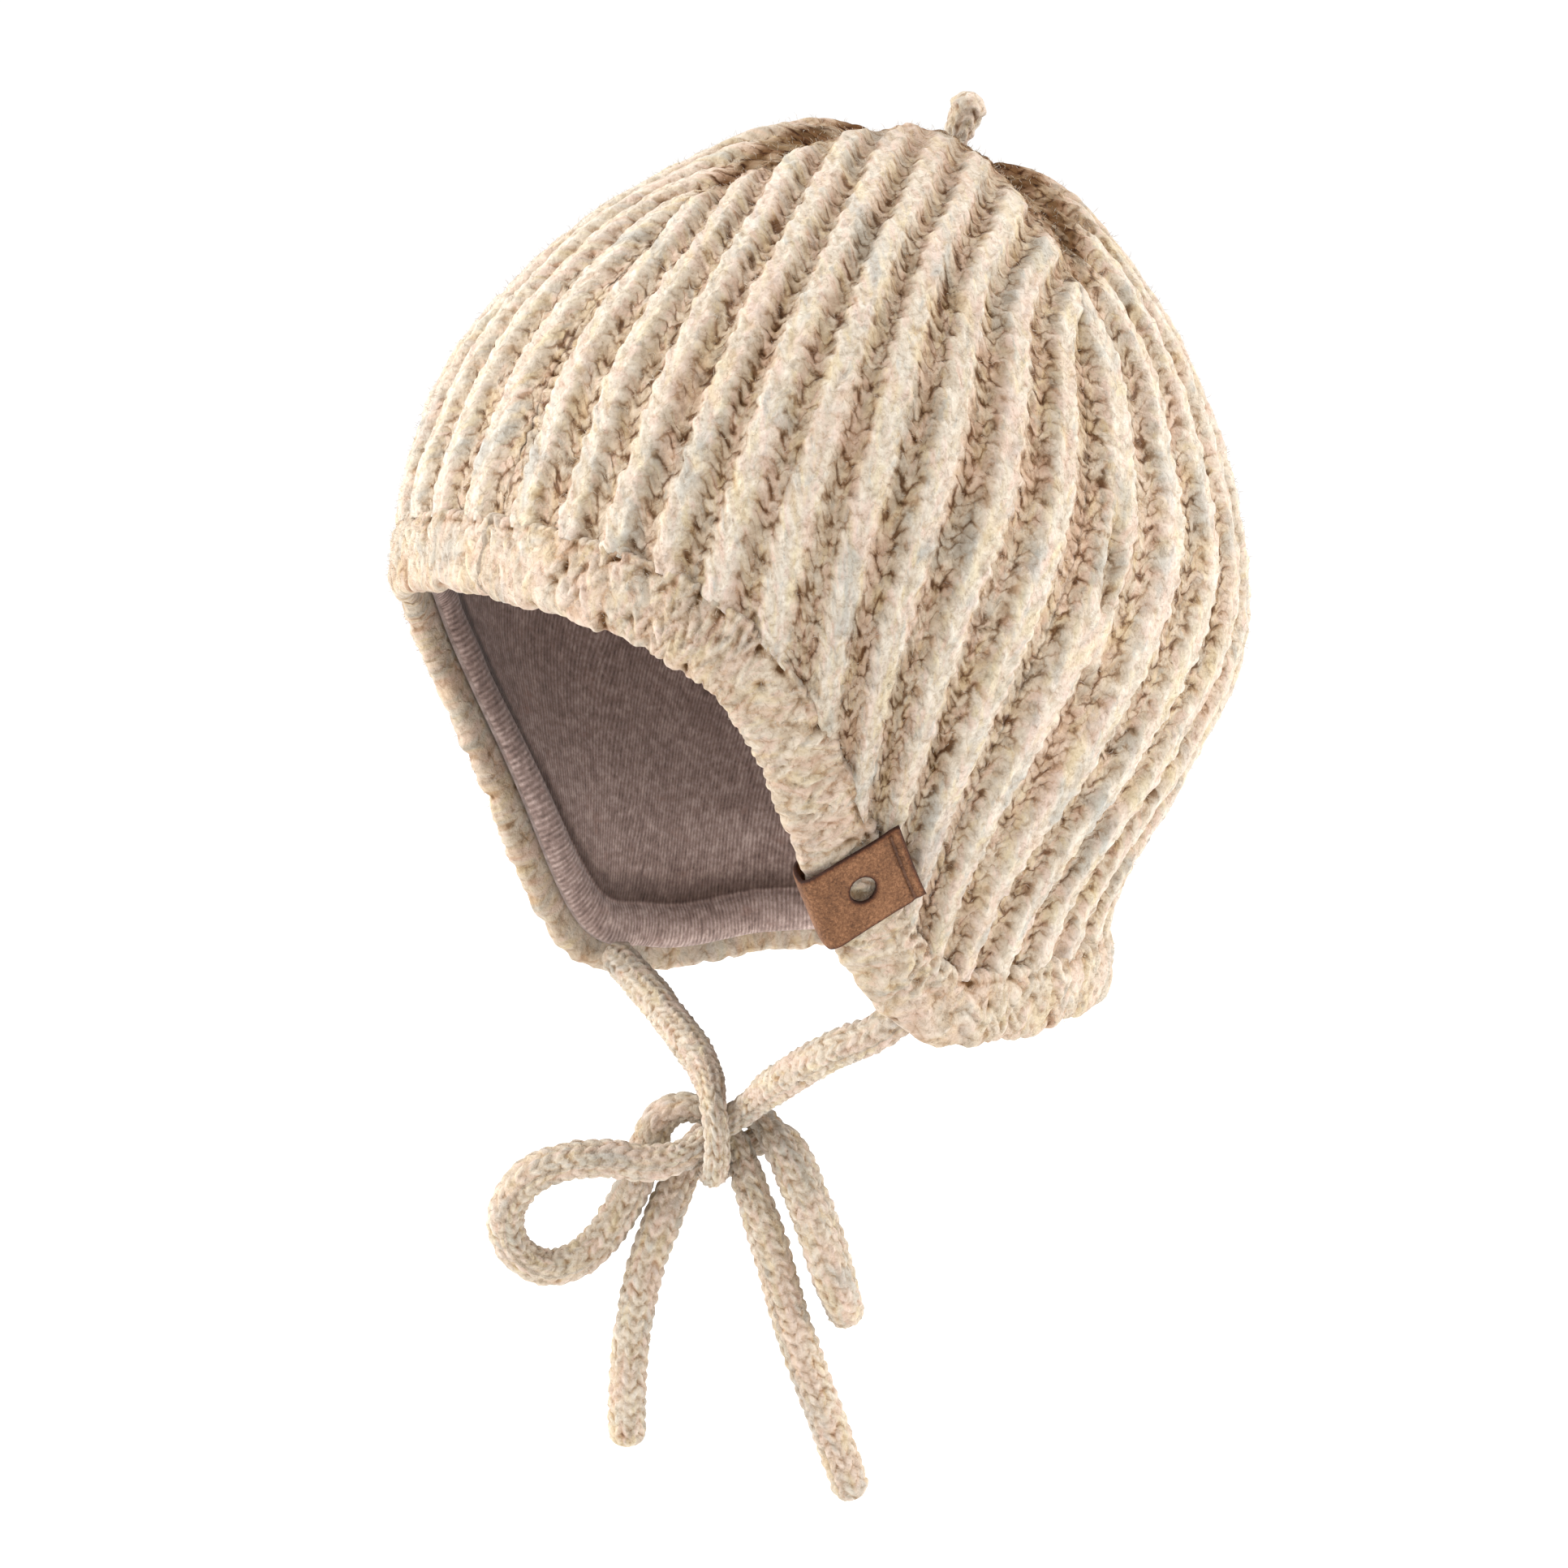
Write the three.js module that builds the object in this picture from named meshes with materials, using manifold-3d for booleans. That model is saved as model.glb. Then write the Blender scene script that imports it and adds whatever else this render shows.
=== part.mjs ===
// Child's knit hat with ear flaps, lining, top stub, edge label and two ties in a bow.
// Millimetres, +Z up, -Y is the face side, +X is the wearer's left.
// The origin is the spot under the top of the lining where the hat rests on the head.

import * as THREE from 'three';
import Module from 'manifold-3d';

const manifoldLib = await Module();
manifoldLib.setup();
const { Manifold, Mesh: ManifoldMesh } = manifoldLib;

// Driving sizes

const SEAT = [0, 20, 84];            // head seat in the frame of the tables below
const RIBS = 40;                     // knit ribs round the crown
const COLUMNS_PER_RIB = 3;
const RIB_FLOOR = 2.7;               // wall of the crown in a groove
const RIB_RISE = 2.1;                // what a rib adds to it
const RIB_FADE = 0.06;               // ribs are flat nearer the top than this
const GATHER_RADIUS = 76;            // inside this radius ribs run into the creases
const GATHER_POWER = 0.65;
const RIB_SWEEP = 1.6;               // how far the back ribs lean to the face low down
const SWEEP_FROM = 0.55;
const RIB_CROWDING = 0.06;           // ribs sit closer together at the face
const CREASE_DEPTH = 12;             // the four darts of the top
const CREASE_END = 0.34;
const CREASE_START = 0.05;
const CREASE_HALF_WIDTH = 13;
const BAND_WIDTH = 13.8;             // knit band round the whole edge
const GAP = 0.3;                     // kept between pieces
const SEAM = 0.45;                   // from the crown's edge to the band
const LINING_WALL = 1.0;
const LINING_GAP = 0.4;
const LINING_SLACK = 0.7;
const STUB_RADIUS = 3.5;
const STUB_HEIGHT = 11.5;
const LABEL_WIDTH = 16;              // along the edge
const LABEL_REACH = 20.4;            // from the folded edge over the band
const LABEL_WALL = 1.2;
const LABEL_AT = 64.3;               // degrees round from the face
const LABEL_SLANT = 0.18;            // how far the strip drifts along the edge on its way
const LABEL_FLARE = 0.0107;          // how the edge's curve would widen it, per millimetre
const LABEL_HOLE = 2.6;              // radius
const HOLE_ACROSS = 4.4;             // from the crown's edge to the hole's middle
const TIE_SIDES = 8;

// Shape of the crown's inner face: level loops across the hat from the top down.
// along: place on the way from top to lowest edge, y and z: centre of the loop,
// tilt: degrees that its face side is raised, half_x, front, back: half sizes,
// square: 2 for an ellipse and more for a boxier loop.

const LOOPS = [
  { along: 0.00, y: 37, z: 84, tilt: 18, half_x: 0, front: 0, back: 0, square: 2.0 },
  { along: 0.08, y: 34, z: 86, tilt: 18, half_x: 15, front: 16, back: 10, square: 2.0 },
  { along: 0.17, y: 30, z: 81, tilt: 18, half_x: 29, front: 29, back: 24, square: 2.0 },
  { along: 0.30, y: 22, z: 66, tilt: 19, half_x: 50, front: 45, back: 48, square: 2.1 },
  { along: 0.45, y: 13, z: 43, tilt: 20, half_x: 67, front: 62, back: 69, square: 2.2 },
  { along: 0.60, y: 7, z: 14, tilt: 21, half_x: 75, front: 76, back: 76, square: 2.3 },
  { along: 0.75, y: 3, z: -17, tilt: 18, half_x: 72, front: 80, back: 61, square: 2.3 },
  { along: 0.88, y: -1, z: -52, tilt: 10, half_x: 58, front: 59, back: 53, square: 2.2 },
  { along: 1.00, y: -2, z: -87, tilt: 0, half_x: 51, front: 44, back: 60, square: 2.2 },
];

// Where the crown stops and the band begins, by degrees round from the face,
// on the wearer's left and right: the right flap hangs a little lower.

const EDGE_LEFT = [
  { angle: 0, along: 0.70 }, { angle: 20, along: 0.705 }, { angle: 35, along: 0.72 },
  { angle: 48, along: 0.755 }, { angle: 58, along: 0.81 }, { angle: 67, along: 0.875 },
  { angle: 78, along: 0.918 }, { angle: 92, along: 0.922 }, { angle: 120, along: 0.906 },
  { angle: 150, along: 0.902 }, { angle: 180, along: 0.90 },
];
const EDGE_RIGHT = [
  { angle: 0, along: 0.70 }, { angle: 20, along: 0.703 }, { angle: 35, along: 0.707 },
  { angle: 48, along: 0.716 }, { angle: 55, along: 0.74 }, { angle: 60, along: 0.778 },
  { angle: 65, along: 0.823 }, { angle: 71, along: 0.878 }, { angle: 78, along: 0.92 },
  { angle: 92, along: 0.937 }, { angle: 120, along: 0.925 }, { angle: 150, along: 0.91 },
  { angle: 180, along: 0.90 },
];

// Cross sections as [across, out]: across runs from the crown's edge over the band,
// out is the distance outside the crown's inner face.

const BAND_OUTLINE = [
  [SEAM, 0.3], [SEAM, 4.6], [3.6, 6.0], [9.4, 6.0],
  [13.1, 4.4], [BAND_WIDTH, 2.5], [12.6, 0.5], [6.5, 0.0],
];
const LINING_HEM = [
  { across: 0.9, out: -1.0, wall: 1.0 },
  { across: 2.0, out: -0.7, wall: 2.2 },
  { across: 4.9, out: -0.5, wall: 3.1 },
  { across: 8.1, out: -0.5, wall: 2.6 },
  { across: 9.3, out: -1.0, wall: 1.0 },
];

const OUTER_ROWS = [0.03, 0.07, 0.12, 0.17, 0.22, 0.28, 0.35, 0.43, 0.52, 0.62, 0.72, 0.82, 0.91, 1.0];
const INNER_ROWS = [0.07, 0.13, 0.2, 0.28, 0.38, 0.5, 0.62, 0.74, 0.87, 1.0];

// Routes of the ties from the flap to the free end, in the knot's own frame:
// right and near are level, right is seen from the wearer's left front, up is +Z.

const KNOT = [0, -22, -103];
const KNOT_TURN = 50;                // degrees that right is turned from +X toward +Y

const TIE_RIGHT = [
  { right: -24.3, up: 27.4, near: -42.8, radius: 3.5 },
  { right: -21.4, up: 25.0, near: -41.1, radius: 3.6 },
  { right: -16.8, up: 21.4, near: -34.8, radius: 3.7 },
  { right: -11.0, up: 17.4, near: -22.0, radius: 3.7 },
  { right: -5.8, up: 13.6, near: -10.0, radius: 3.6 },
  { right: -2.9, up: 10.0, near: -1.0, radius: 3.0 },
  { right: -1.9, up: 6.8, near: 6.2, radius: 2.6 },
  { right: -1.0, up: 0.5, near: 9.0, radius: 2.6 },
  { right: -1.3, up: -6.4, near: 6.2, radius: 2.6 },
  { right: -2.2, up: -9.2, near: 0.0, radius: 2.6 },
  { right: 1.0, up: -8.2, near: -6.2, radius: 2.6 },
  { right: 6.4, up: -4.6, near: -8.6, radius: 2.8 },
  { right: 11.4, up: -5.0, near: -9.4, radius: 3.5 },
  { right: 15.9, up: -12.7, near: -9.6, radius: 3.7 },
  { right: 19.4, up: -22.2, near: -8.8, radius: 3.7 },
  { right: 22.8, up: -32.6, near: -5.8, radius: 3.7 },
  { right: 24.2, up: -37.0, near: 0.0, radius: 3.7 },
  { right: 22.6, up: -31.6, near: 6.2, radius: 3.7 },
  { right: 19.0, up: -21.0, near: 7.6, radius: 3.7 },
  { right: 15.6, up: -11.6, near: 6.2, radius: 3.7 },
  { right: 11.6, up: -3.8, near: 3.0, radius: 3.2 },
  { right: 7.4, up: 1.2, near: -3.6, radius: 2.7 },
  { right: 1.6, up: 0.6, near: -9.6, radius: 2.6 },
  { right: -4.6, up: -4.6, near: -9.2, radius: 2.9 },
  { right: -8.2, up: -10.6, near: -7.0, radius: 3.6 },
  { right: -12.6, up: -20.6, near: -4.0, radius: 3.7 },
  { right: -15.9, up: -30.2, near: -2.0, radius: 3.7 },
  { right: -18.2, up: -42.0, near: -0.5, radius: 3.7 },
  { right: -19.3, up: -54.0, near: 0.5, radius: 3.7 },
  { right: -19.4, up: -65.0, near: 1.0, radius: 3.6 },
];

const TIE_LEFT = [
  { right: 35.8, up: 32.2, near: 33.5, radius: 3.5 },
  { right: 30.5, up: 27.9, near: 33.0, radius: 3.6 },
  { right: 21.9, up: 23.0, near: 27.8, radius: 3.7 },
  { right: 15.6, up: 17.4, near: 19.8, radius: 3.7 },
  { right: 9.8, up: 11.2, near: 10.8, radius: 3.6 },
  { right: 5.2, up: 6.0, near: 4.8, radius: 2.9 },
  { right: -1.0, up: 0.5, near: 2.8, radius: 2.6 },
  { right: -7.6, up: -4.0, near: 3.8, radius: 3.2 },
  { right: -14.3, up: -5.6, near: 4.4, radius: 3.7 },
  { right: -22.6, up: -4.7, near: 4.2, radius: 3.7 },
  { right: -31.0, up: -5.6, near: 3.6, radius: 3.7 },
  { right: -38.9, up: -9.5, near: 2.6, radius: 3.7 },
  { right: -43.0, up: -16.7, near: 1.4, radius: 3.7 },
  { right: -41.3, up: -24.6, near: 0.0, radius: 3.7 },
  { right: -34.9, up: -28.6, near: -1.4, radius: 3.7 },
  { right: -27.4, up: -26.2, near: -2.8, radius: 3.7 },
  { right: -21.6, up: -19.4, near: -3.8, radius: 3.7 },
  { right: -17.4, up: -11.4, near: -4.4, radius: 3.7 },
  { right: -15.0, up: -4.6, near: -4.6, radius: 3.7 },
  { right: -12.0, up: 1.6, near: -4.2, radius: 3.5 },
  { right: -7.4, up: 3.8, near: -3.4, radius: 3.0 },
  { right: -2.2, up: 2.0, near: -3.5, radius: 2.6 },
  { right: 2.6, up: -3.4, near: -1.6, radius: 2.6 },
  { right: 5.4, up: -11.2, near: 2.0, radius: 3.4 },
  { right: 8.7, up: -20.6, near: 4.2, radius: 3.7 },
  { right: 12.7, up: -34.9, near: 5.4, radius: 3.7 },
  { right: 17.5, up: -49.4, near: 6.2, radius: 3.7 },
  { right: 23.2, up: -65.0, near: 6.8, radius: 3.7 },
  { right: 26.0, up: -74.0, near: 7.0, radius: 3.6 },
];

// Numbers

const DEGREE = Math.PI / 180;
const clamp = (value, low, high) => Math.min(high, Math.max(low, value));
const smooth = (value) => value * value * (3 - 2 * value);

function readTable(table, key, names, value) {
  // Smooth curve through the rows of a table, read at one value of its key column.
  const last = table.length - 1;
  const at = clamp(value, table[0][key], table[last][key]);
  let row = 0;
  while (row < last - 1 && at > table[row + 1][key]) row += 1;
  const a = table[row];
  const b = table[row + 1];
  const before = table[Math.max(0, row - 1)];
  const after = table[Math.min(last, row + 2)];
  const step = b[key] - a[key];
  const t = (at - a[key]) / step;
  const result = {};
  for (const name of names) {
    const slope = (b[name] - a[name]) / step;
    const slopeAt = (p, q, r) => {
      const s1 = (q[name] - p[name]) / (q[key] - p[key]);
      const s2 = (r[name] - q[name]) / (r[key] - q[key]);
      return (s1 * (r[key] - q[key]) + s2 * (q[key] - p[key])) / (r[key] - p[key]);
    };
    const m0 = row > 0 ? slopeAt(before, a, b) : slope;
    const m1 = row + 1 < last ? slopeAt(a, b, after) : slope;
    const t2 = t * t;
    const t3 = t2 * t;
    result[name] = (2 * t3 - 3 * t2 + 1) * a[name] + (t3 - 2 * t2 + t) * step * m0
      + (3 * t2 - 2 * t3) * b[name] + (t3 - t2) * step * m1;
  }
  return result;
}

const LOOP_NAMES = ['y', 'z', 'tilt', 'half_x', 'front', 'back', 'square'];
const WHOLE_EDGE = [
  ...EDGE_RIGHT.slice(1).reverse().map((row) => ({ angle: -row.angle, along: row.along })),
  ...EDGE_LEFT,
];

function edgeAlong(angle) {
  // The wearer's left is from 0 to 180 degrees and the right from -180 to 0.
  const turn = ((angle / DEGREE + 180) % 360 + 360) % 360 - 180;
  return readTable(WHOLE_EDGE, 'angle', ['along'], turn).along;
}

// Surface of the hat

function skinPoint(angle, along) {
  // Point on the crown's inner face; angle 0 is the face side and 90 degrees is +X.
  const loop = readTable(LOOPS, 'along', LOOP_NAMES, along);
  const s = Math.sin(angle);
  const c = Math.cos(angle);
  const side = Math.sign(s) * Math.abs(s) ** (2 / loop.square);
  const face = Math.sign(c) * Math.abs(c) ** (2 / loop.square);
  const depth = (c > 0 ? loop.front : loop.back) * face;
  const fade = clamp(1 - along / CREASE_END, 0, 1) ** 1.2;
  const start = clamp(along / CREASE_START, 0, 1);
  const across = Math.min(Math.abs(loop.half_x * s), Math.abs(depth));
  const valley = clamp(1 - across / CREASE_HALF_WIDTH, 0, 1) ** 1.6;
  const dip = CREASE_DEPTH * fade * start * valley;
  const tilt = loop.tilt * DEGREE;
  return new THREE.Vector3(
    loop.half_x * side - SEAT[0],
    loop.y - depth * Math.cos(tilt) - dip * Math.sin(tilt) - SEAT[1],
    loop.z + depth * Math.sin(tilt) - dip * Math.cos(tilt) - SEAT[2],
  );
}

function skinNormal(angle, along) {
  // Measured over wide steps, so that the sharp creases don't turn it too far.
  const reach = along < 0.2 ? 0.12 : 0.03;
  const low = Math.max(0.004, along - 0.02);
  const high = Math.min(1, along + 0.02);
  const round = skinPoint(angle + reach, along).sub(skinPoint(angle - reach, along));
  const down = skinPoint(angle, high).sub(skinPoint(angle, low));
  return down.cross(round).normalize();
}

function columnPlace(turn, part) {
  // turn: which column, part: 0 at the top and 1 at the crown's edge.
  const rough = part * edgeAlong(turn);
  const sweep = RIB_SWEEP * Math.max(0, rough - SWEEP_FROM) ** 1.2;
  const backward = Math.sin(turn) * Math.max(0, 0.5 - 0.9 * Math.cos(turn));
  const crowding = RIB_CROWDING * smooth(clamp(rough / 0.4, 0, 1));
  const forward = Math.sin(turn) + 0.5 * Math.sin(2 * turn);
  const angle = turn - sweep * backward - crowding * forward;
  return { angle, along: part * edgeAlong(angle) };
}

function ribRelief(turn, along, radius) {
  // 0 in a groove and 1 on a rib; near the top each quarter's ribs end in its creases.
  const quarter = Math.floor(turn / (Math.PI / 2));
  const middle = (quarter + 0.5) * Math.PI / 2;
  const narrowing = Math.min(1, radius / GATHER_RADIUS) ** GATHER_POWER;
  const place = (middle + (turn - middle) * narrowing) * RIBS / (2 * Math.PI);
  const wave = Math.min(1, 0.67 * (1 - Math.cos(2 * Math.PI * place)));
  return wave * smooth(clamp(along / RIB_FADE - 0.5, 0, 1));
}

function edgeFrame(angle) {
  // At the crown's edge: its point, the way along it, outward and on over the band.
  const step = 0.01;
  const at = skinPoint(angle, edgeAlong(angle));
  const next = skinPoint(angle + step, edgeAlong(angle + step));
  const last = skinPoint(angle - step, edgeAlong(angle - step));
  const along = next.sub(last).normalize();
  const out = skinNormal(angle, edgeAlong(angle));
  out.addScaledVector(along, -out.dot(along)).normalize();
  const across = along.clone().cross(out).negate();
  const below = skinPoint(angle, edgeAlong(angle) + 0.01).sub(at);
  if (across.dot(below) < 0) across.negate();
  return { at, along, out, across };
}

function bandPoint(frame, across, out) {
  return frame.at.clone().addScaledVector(frame.across, across).addScaledVector(frame.out, out);
}

// Closed meshes

class Shell {
  // Collects points and faces of one closed surface.
  constructor() {
    this.points = [];
    this.faces = [];
  }

  ring(points) {
    const first = this.points.length;
    this.points.push(...points);
    return points.map((point, i) => first + i);
  }

  join(a, b, inward = false) {
    // Strip between two rings; the second may have a whole number of points per point.
    const first = this.faces.length;
    const ratio = b.length / a.length;
    for (let i = 0; i < a.length; i += 1) {
      const next = (i + 1) % a.length;
      for (let k = 0; k < ratio; k += 1) {
        const low = i * ratio + k;
        const corner = k < ratio / 2 ? a[i] : a[next];
        this.faces.push([corner, b[low], b[(low + 1) % b.length]]);
      }
      const turnAt = b[(i * ratio + Math.ceil(ratio / 2)) % b.length];
      this.faces.push([a[i], turnAt, a[next]]);
    }
    if (inward) this.faces.slice(first).forEach((face) => face.reverse());
  }

  fan(centre, ring) {
    const tip = this.ring([centre])[0];
    ring.forEach((corner, i) => {
      this.faces.push([tip, corner, ring[(i + 1) % ring.length]]);
    });
  }

  volume() {
    let sum = 0;
    for (const [a, b, c] of this.faces) {
      const cross = this.points[b].clone().cross(this.points[c]);
      sum += this.points[a].dot(cross) / 6;
    }
    return sum;
  }

  geometry() {
    if (this.volume() < 0) this.faces.forEach((face) => face.reverse());
    const geometry = new THREE.BufferGeometry();
    const places = this.points.flatMap((point) => [point.x, point.y, point.z]);
    geometry.setAttribute('position', new THREE.Float32BufferAttribute(places, 3));
    geometry.setIndex(this.faces.flat());
    return geometry;
  }
}

function columns(count) {
  return Array.from({ length: count }, (empty, i) => (i / count) * 2 * Math.PI);
}

// Crown: ribbed outside, smooth inside, gathered into four darts at the top

function crownOutside(turn, part) {
  const { angle, along } = columnPlace(turn, part);
  const point = skinPoint(angle, along);
  const middle = skinPoint(0, 0);
  const radius = Math.hypot(point.x - middle.x, point.y - middle.y);
  const wall = RIB_FLOOR + RIB_RISE * ribRelief(turn, along, radius);
  const out = part < 1 ? skinNormal(angle, along) : edgeFrame(angle).out;
  return point.addScaledVector(out, wall);
}

function crownInside(turn, part) {
  const { angle, along } = columnPlace(turn, part);
  return skinPoint(angle, along);
}

function liningPoint(turn, part, depth) {
  // The lining stands off a little more where its facets are longest, near the edge.
  const { angle, along } = columnPlace(turn, part);
  const slack = LINING_SLACK * smooth(clamp((part - 0.6) / 0.4, 0, 1));
  return skinPoint(angle, along).addScaledVector(skinNormal(angle, along), -depth - slack);
}

const OUTER_TURNS = columns(RIBS * COLUMNS_PER_RIB);
const INNER_TURNS = columns(RIBS);

function makeCrown() {
  const shell = new Shell();
  const outer = OUTER_ROWS.map((part) => shell.ring(OUTER_TURNS.map((turn) => crownOutside(turn, part))));
  const inner = INNER_ROWS.map((part) => {
    const turns = part < 1 ? INNER_TURNS : OUTER_TURNS;
    return shell.ring(turns.map((turn) => crownInside(turn, part)));
  });
  for (let row = 0; row + 1 < outer.length; row += 1) shell.join(outer[row], outer[row + 1]);
  for (let row = 0; row + 1 < inner.length; row += 1) shell.join(inner[row], inner[row + 1], true);
  const top = skinPoint(0, 0);
  shell.fan(top.clone().add(new THREE.Vector3(0, 0, RIB_FLOOR)), outer[0]);
  shell.fan(top, [...inner[0]].reverse());
  shell.join(inner[inner.length - 1], outer[outer.length - 1], true);
  return shell.geometry();
}

// Band, lining and label all follow the edge

function rimAngle(turn) {
  return columnPlace(turn, 1).angle;
}

function makeBand() {
  const shell = new Shell();
  const rings = OUTER_TURNS.map((turn) => {
    const frame = edgeFrame(rimAngle(turn));
    return shell.ring(BAND_OUTLINE.map(([across, out]) => bandPoint(frame, across, out)));
  });
  rings.forEach((ring, i) => shell.join(ring, rings[(i + 1) % rings.length]));
  return shell.geometry();
}

function makeLining() {
  const shell = new Shell();
  const skin = (depth) => {
    const rows = INNER_ROWS.map((part) => {
      return shell.ring(INNER_TURNS.map((turn) => liningPoint(turn, part, depth)));
    });
    return rows;
  };
  const hem = (inside) => LINING_HEM.map((row) => {
    return shell.ring(INNER_TURNS.map((turn) => {
      const depth = row.out - (inside ? row.wall : 0);
      return bandPoint(edgeFrame(rimAngle(turn)), row.across, depth);
    }));
  });
  const outer = [...skin(LINING_GAP), ...hem(false)];
  const inner = [...skin(LINING_GAP + LINING_WALL), ...hem(true)];
  for (let row = 0; row + 1 < outer.length; row += 1) {
    shell.join(outer[row], outer[row + 1]);
    shell.join(inner[row], inner[row + 1], true);
  }
  const top = skinPoint(0, 0);
  shell.fan(top.clone().add(new THREE.Vector3(0, 0, -LINING_GAP)), outer[0]);
  shell.fan(top.clone().add(new THREE.Vector3(0, 0, -LINING_GAP - LINING_WALL)), [...inner[0]].reverse());
  shell.join(outer[outer.length - 1], inner[inner.length - 1]);
  return shell.geometry();
}

function makeLabel() {
  // A strip folded over the band's edge: short leg inside, long leg outside.
  const over = BAND_WIDTH + GAP;
  const far = over - LABEL_REACH;
  const face = 6.0 + GAP;
  const outline = [
    [10.2, -GAP], [over, -GAP], [over, face - 1.2], [over - 2.4, face],
    [far + 7, face], [far, face - 0.6],
    [far, face - 0.6 + LABEL_WALL], [far + 7, face + LABEL_WALL], [over - 1.6, face + LABEL_WALL],
    [over + LABEL_WALL, face - 0.6], [over + LABEL_WALL, -GAP - LABEL_WALL], [10.2, -GAP - LABEL_WALL],
  ];
  const middle = edgeFrame(LABEL_AT * DEGREE);
  const stations = 7;
  const shell = new Shell();
  const rings = [];
  for (let i = 0; i < stations; i += 1) {
    const shift = (i / (stations - 1) - 0.5) * LABEL_WIDTH;
    rings.push(shell.ring(outline.map(([across, out]) => {
      const drift = LABEL_SLANT * (across - HOLE_ACROSS);
      const aside = shift / (1 + LABEL_FLARE * across) + drift;
      return bandPoint(edgeFrame(LABEL_AT * DEGREE + aside / LABEL_SPEED), across, out);
    })));
  }
  for (let i = 0; i + 1 < rings.length; i += 1) shell.join(rings[i], rings[i + 1]);
  capRing(shell, rings[0], outline, 1);
  capRing(shell, rings[rings.length - 1], outline, -1);
  const hole = new THREE.CylinderGeometry(LABEL_HOLE, LABEL_HOLE, 6, 20);
  hole.rotateX(Math.PI / 2);
  const through = middle.along.clone().cross(middle.across);
  hole.applyMatrix4(new THREE.Matrix4().makeBasis(middle.along, middle.across, through));
  const centre = bandPoint(middle, HOLE_ACROSS, face + LABEL_WALL / 2);
  hole.translate(centre.x, centre.y, centre.z);
  return fromSolid(toSolid(shell.geometry()).subtract(toSolid(hole)));
}

const LABEL_SPEED = (() => {
  // Length along the edge for one radian at the label.
  const a = edgeFrame(LABEL_AT * DEGREE - 0.05).at;
  const b = edgeFrame(LABEL_AT * DEGREE + 0.05).at;
  return a.distanceTo(b) / 0.1;
})();

function capRing(shell, ring, outline, way) {
  // Flat end of a folded strip; way is 1 to run round it as the outline does, or -1.
  const flat = outline.map(([x, y]) => new THREE.Vector2(x, y));
  for (const triangle of THREE.ShapeUtils.triangulateShape(flat, [])) {
    const face = triangle.map((i) => ring[i]);
    const turn = THREE.ShapeUtils.area(triangle.map((i) => flat[i])) * THREE.ShapeUtils.area(flat);
    shell.faces.push(turn * way > 0 ? face : face.reverse());
  }
}

function toSolid(geometry) {
  const source = geometry.index ? geometry : geometry.toNonIndexed();
  const position = source.attributes.position;
  const mesh = new ManifoldMesh({
    numProp: 3,
    vertProperties: Float32Array.from(position.array),
    triVerts: Uint32Array.from(source.index.array),
  });
  mesh.merge();
  return new Manifold(mesh);
}

function fromSolid(solid) {
  const mesh = solid.getMesh();
  const geometry = new THREE.BufferGeometry();
  geometry.setAttribute('position', new THREE.Float32BufferAttribute(mesh.vertProperties, 3));
  geometry.setIndex(Array.from(mesh.triVerts));
  return geometry;
}

// Stub and ties: round cords of changing thickness

function makeCord(places, radii, steps, sides) {
  // Tube along a smooth curve, its ring kept from twisting, with rounded ends.
  const curve = new THREE.CatmullRomCurve3(places, false, 'centripetal');
  const shell = new Shell();
  const rings = [];
  let side = null;
  for (let i = 0; i <= steps; i += 1) {
    const t = i / steps;
    const at = curve.getPoint(t);
    const ahead = curve.getTangent(t);
    if (!side) side = new THREE.Vector3(0, 0, 1).cross(ahead).normalize();
    side.addScaledVector(ahead, -side.dot(ahead)).normalize();
    const up = ahead.clone().cross(side);
    const exact = t * (radii.length - 1);
    const low = Math.min(radii.length - 2, Math.floor(exact));
    const radius = radii[low] + (radii[low + 1] - radii[low]) * smooth(exact - low);
    const ring = (scale, shift) => shell.ring(columns(sides).map((turn) => {
      return at.clone()
        .addScaledVector(ahead, shift * radius)
        .addScaledVector(side, Math.cos(turn) * radius * scale)
        .addScaledVector(up, Math.sin(turn) * radius * scale);
    }));
    if (i === 0) {
      rings.push(ring(0.8, -0.1));
      shell.fan(at.clone().addScaledVector(ahead, -0.14 * radius), rings[0]);
    }
    rings.push(ring(1, 0));
    if (i === steps) {
      rings.push(ring(0.72, 0.62));
      const tip = at.clone().addScaledVector(ahead, 0.95 * radius);
      shell.fan(tip, [...rings[rings.length - 1]].reverse());
    }
  }
  for (let i = 0; i + 1 < rings.length; i += 1) shell.join(rings[i], rings[i + 1]);
  return shell.geometry();
}

function makeTie(route) {
  const right = new THREE.Vector3(Math.cos(KNOT_TURN * DEGREE), Math.sin(KNOT_TURN * DEGREE), 0);
  const near = new THREE.Vector3(right.y, -right.x, 0);
  const knot = new THREE.Vector3(...KNOT).sub(new THREE.Vector3(...SEAT));
  const places = route.map((row) => {
    return knot.clone()
      .addScaledVector(right, row.right)
      .addScaledVector(near, row.near)
      .add(new THREE.Vector3(0, 0, row.up));
  });
  return makeCord(places, route.map((row) => row.radius), (route.length - 1) * 2, TIE_SIDES);
}

function makeStub() {
  // Short knitted cord that stands in the middle of the darts and leans back a little.
  const foot = skinPoint(0, 0).add(new THREE.Vector3(0, 0, RIB_FLOOR + 0.9));
  const lean = new THREE.Vector3(0.22, 0.30, 0.93).normalize();
  const places = [0, 0.3, 0.6, 0.75].map((part) => {
    return foot.clone().addScaledVector(lean, part * STUB_HEIGHT);
  });
  return makeCord(places, [2.5, 3.2, STUB_RADIUS, STUB_RADIUS], 5, 10);
}

// Materials and the finished group

const wool = { color: 0xd8c3a5, roughness: 0.95 };
const jersey = { color: 0x86716a, roughness: 0.9 };
const leatherette = { color: 0xb07a52, roughness: 0.7 };

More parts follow.
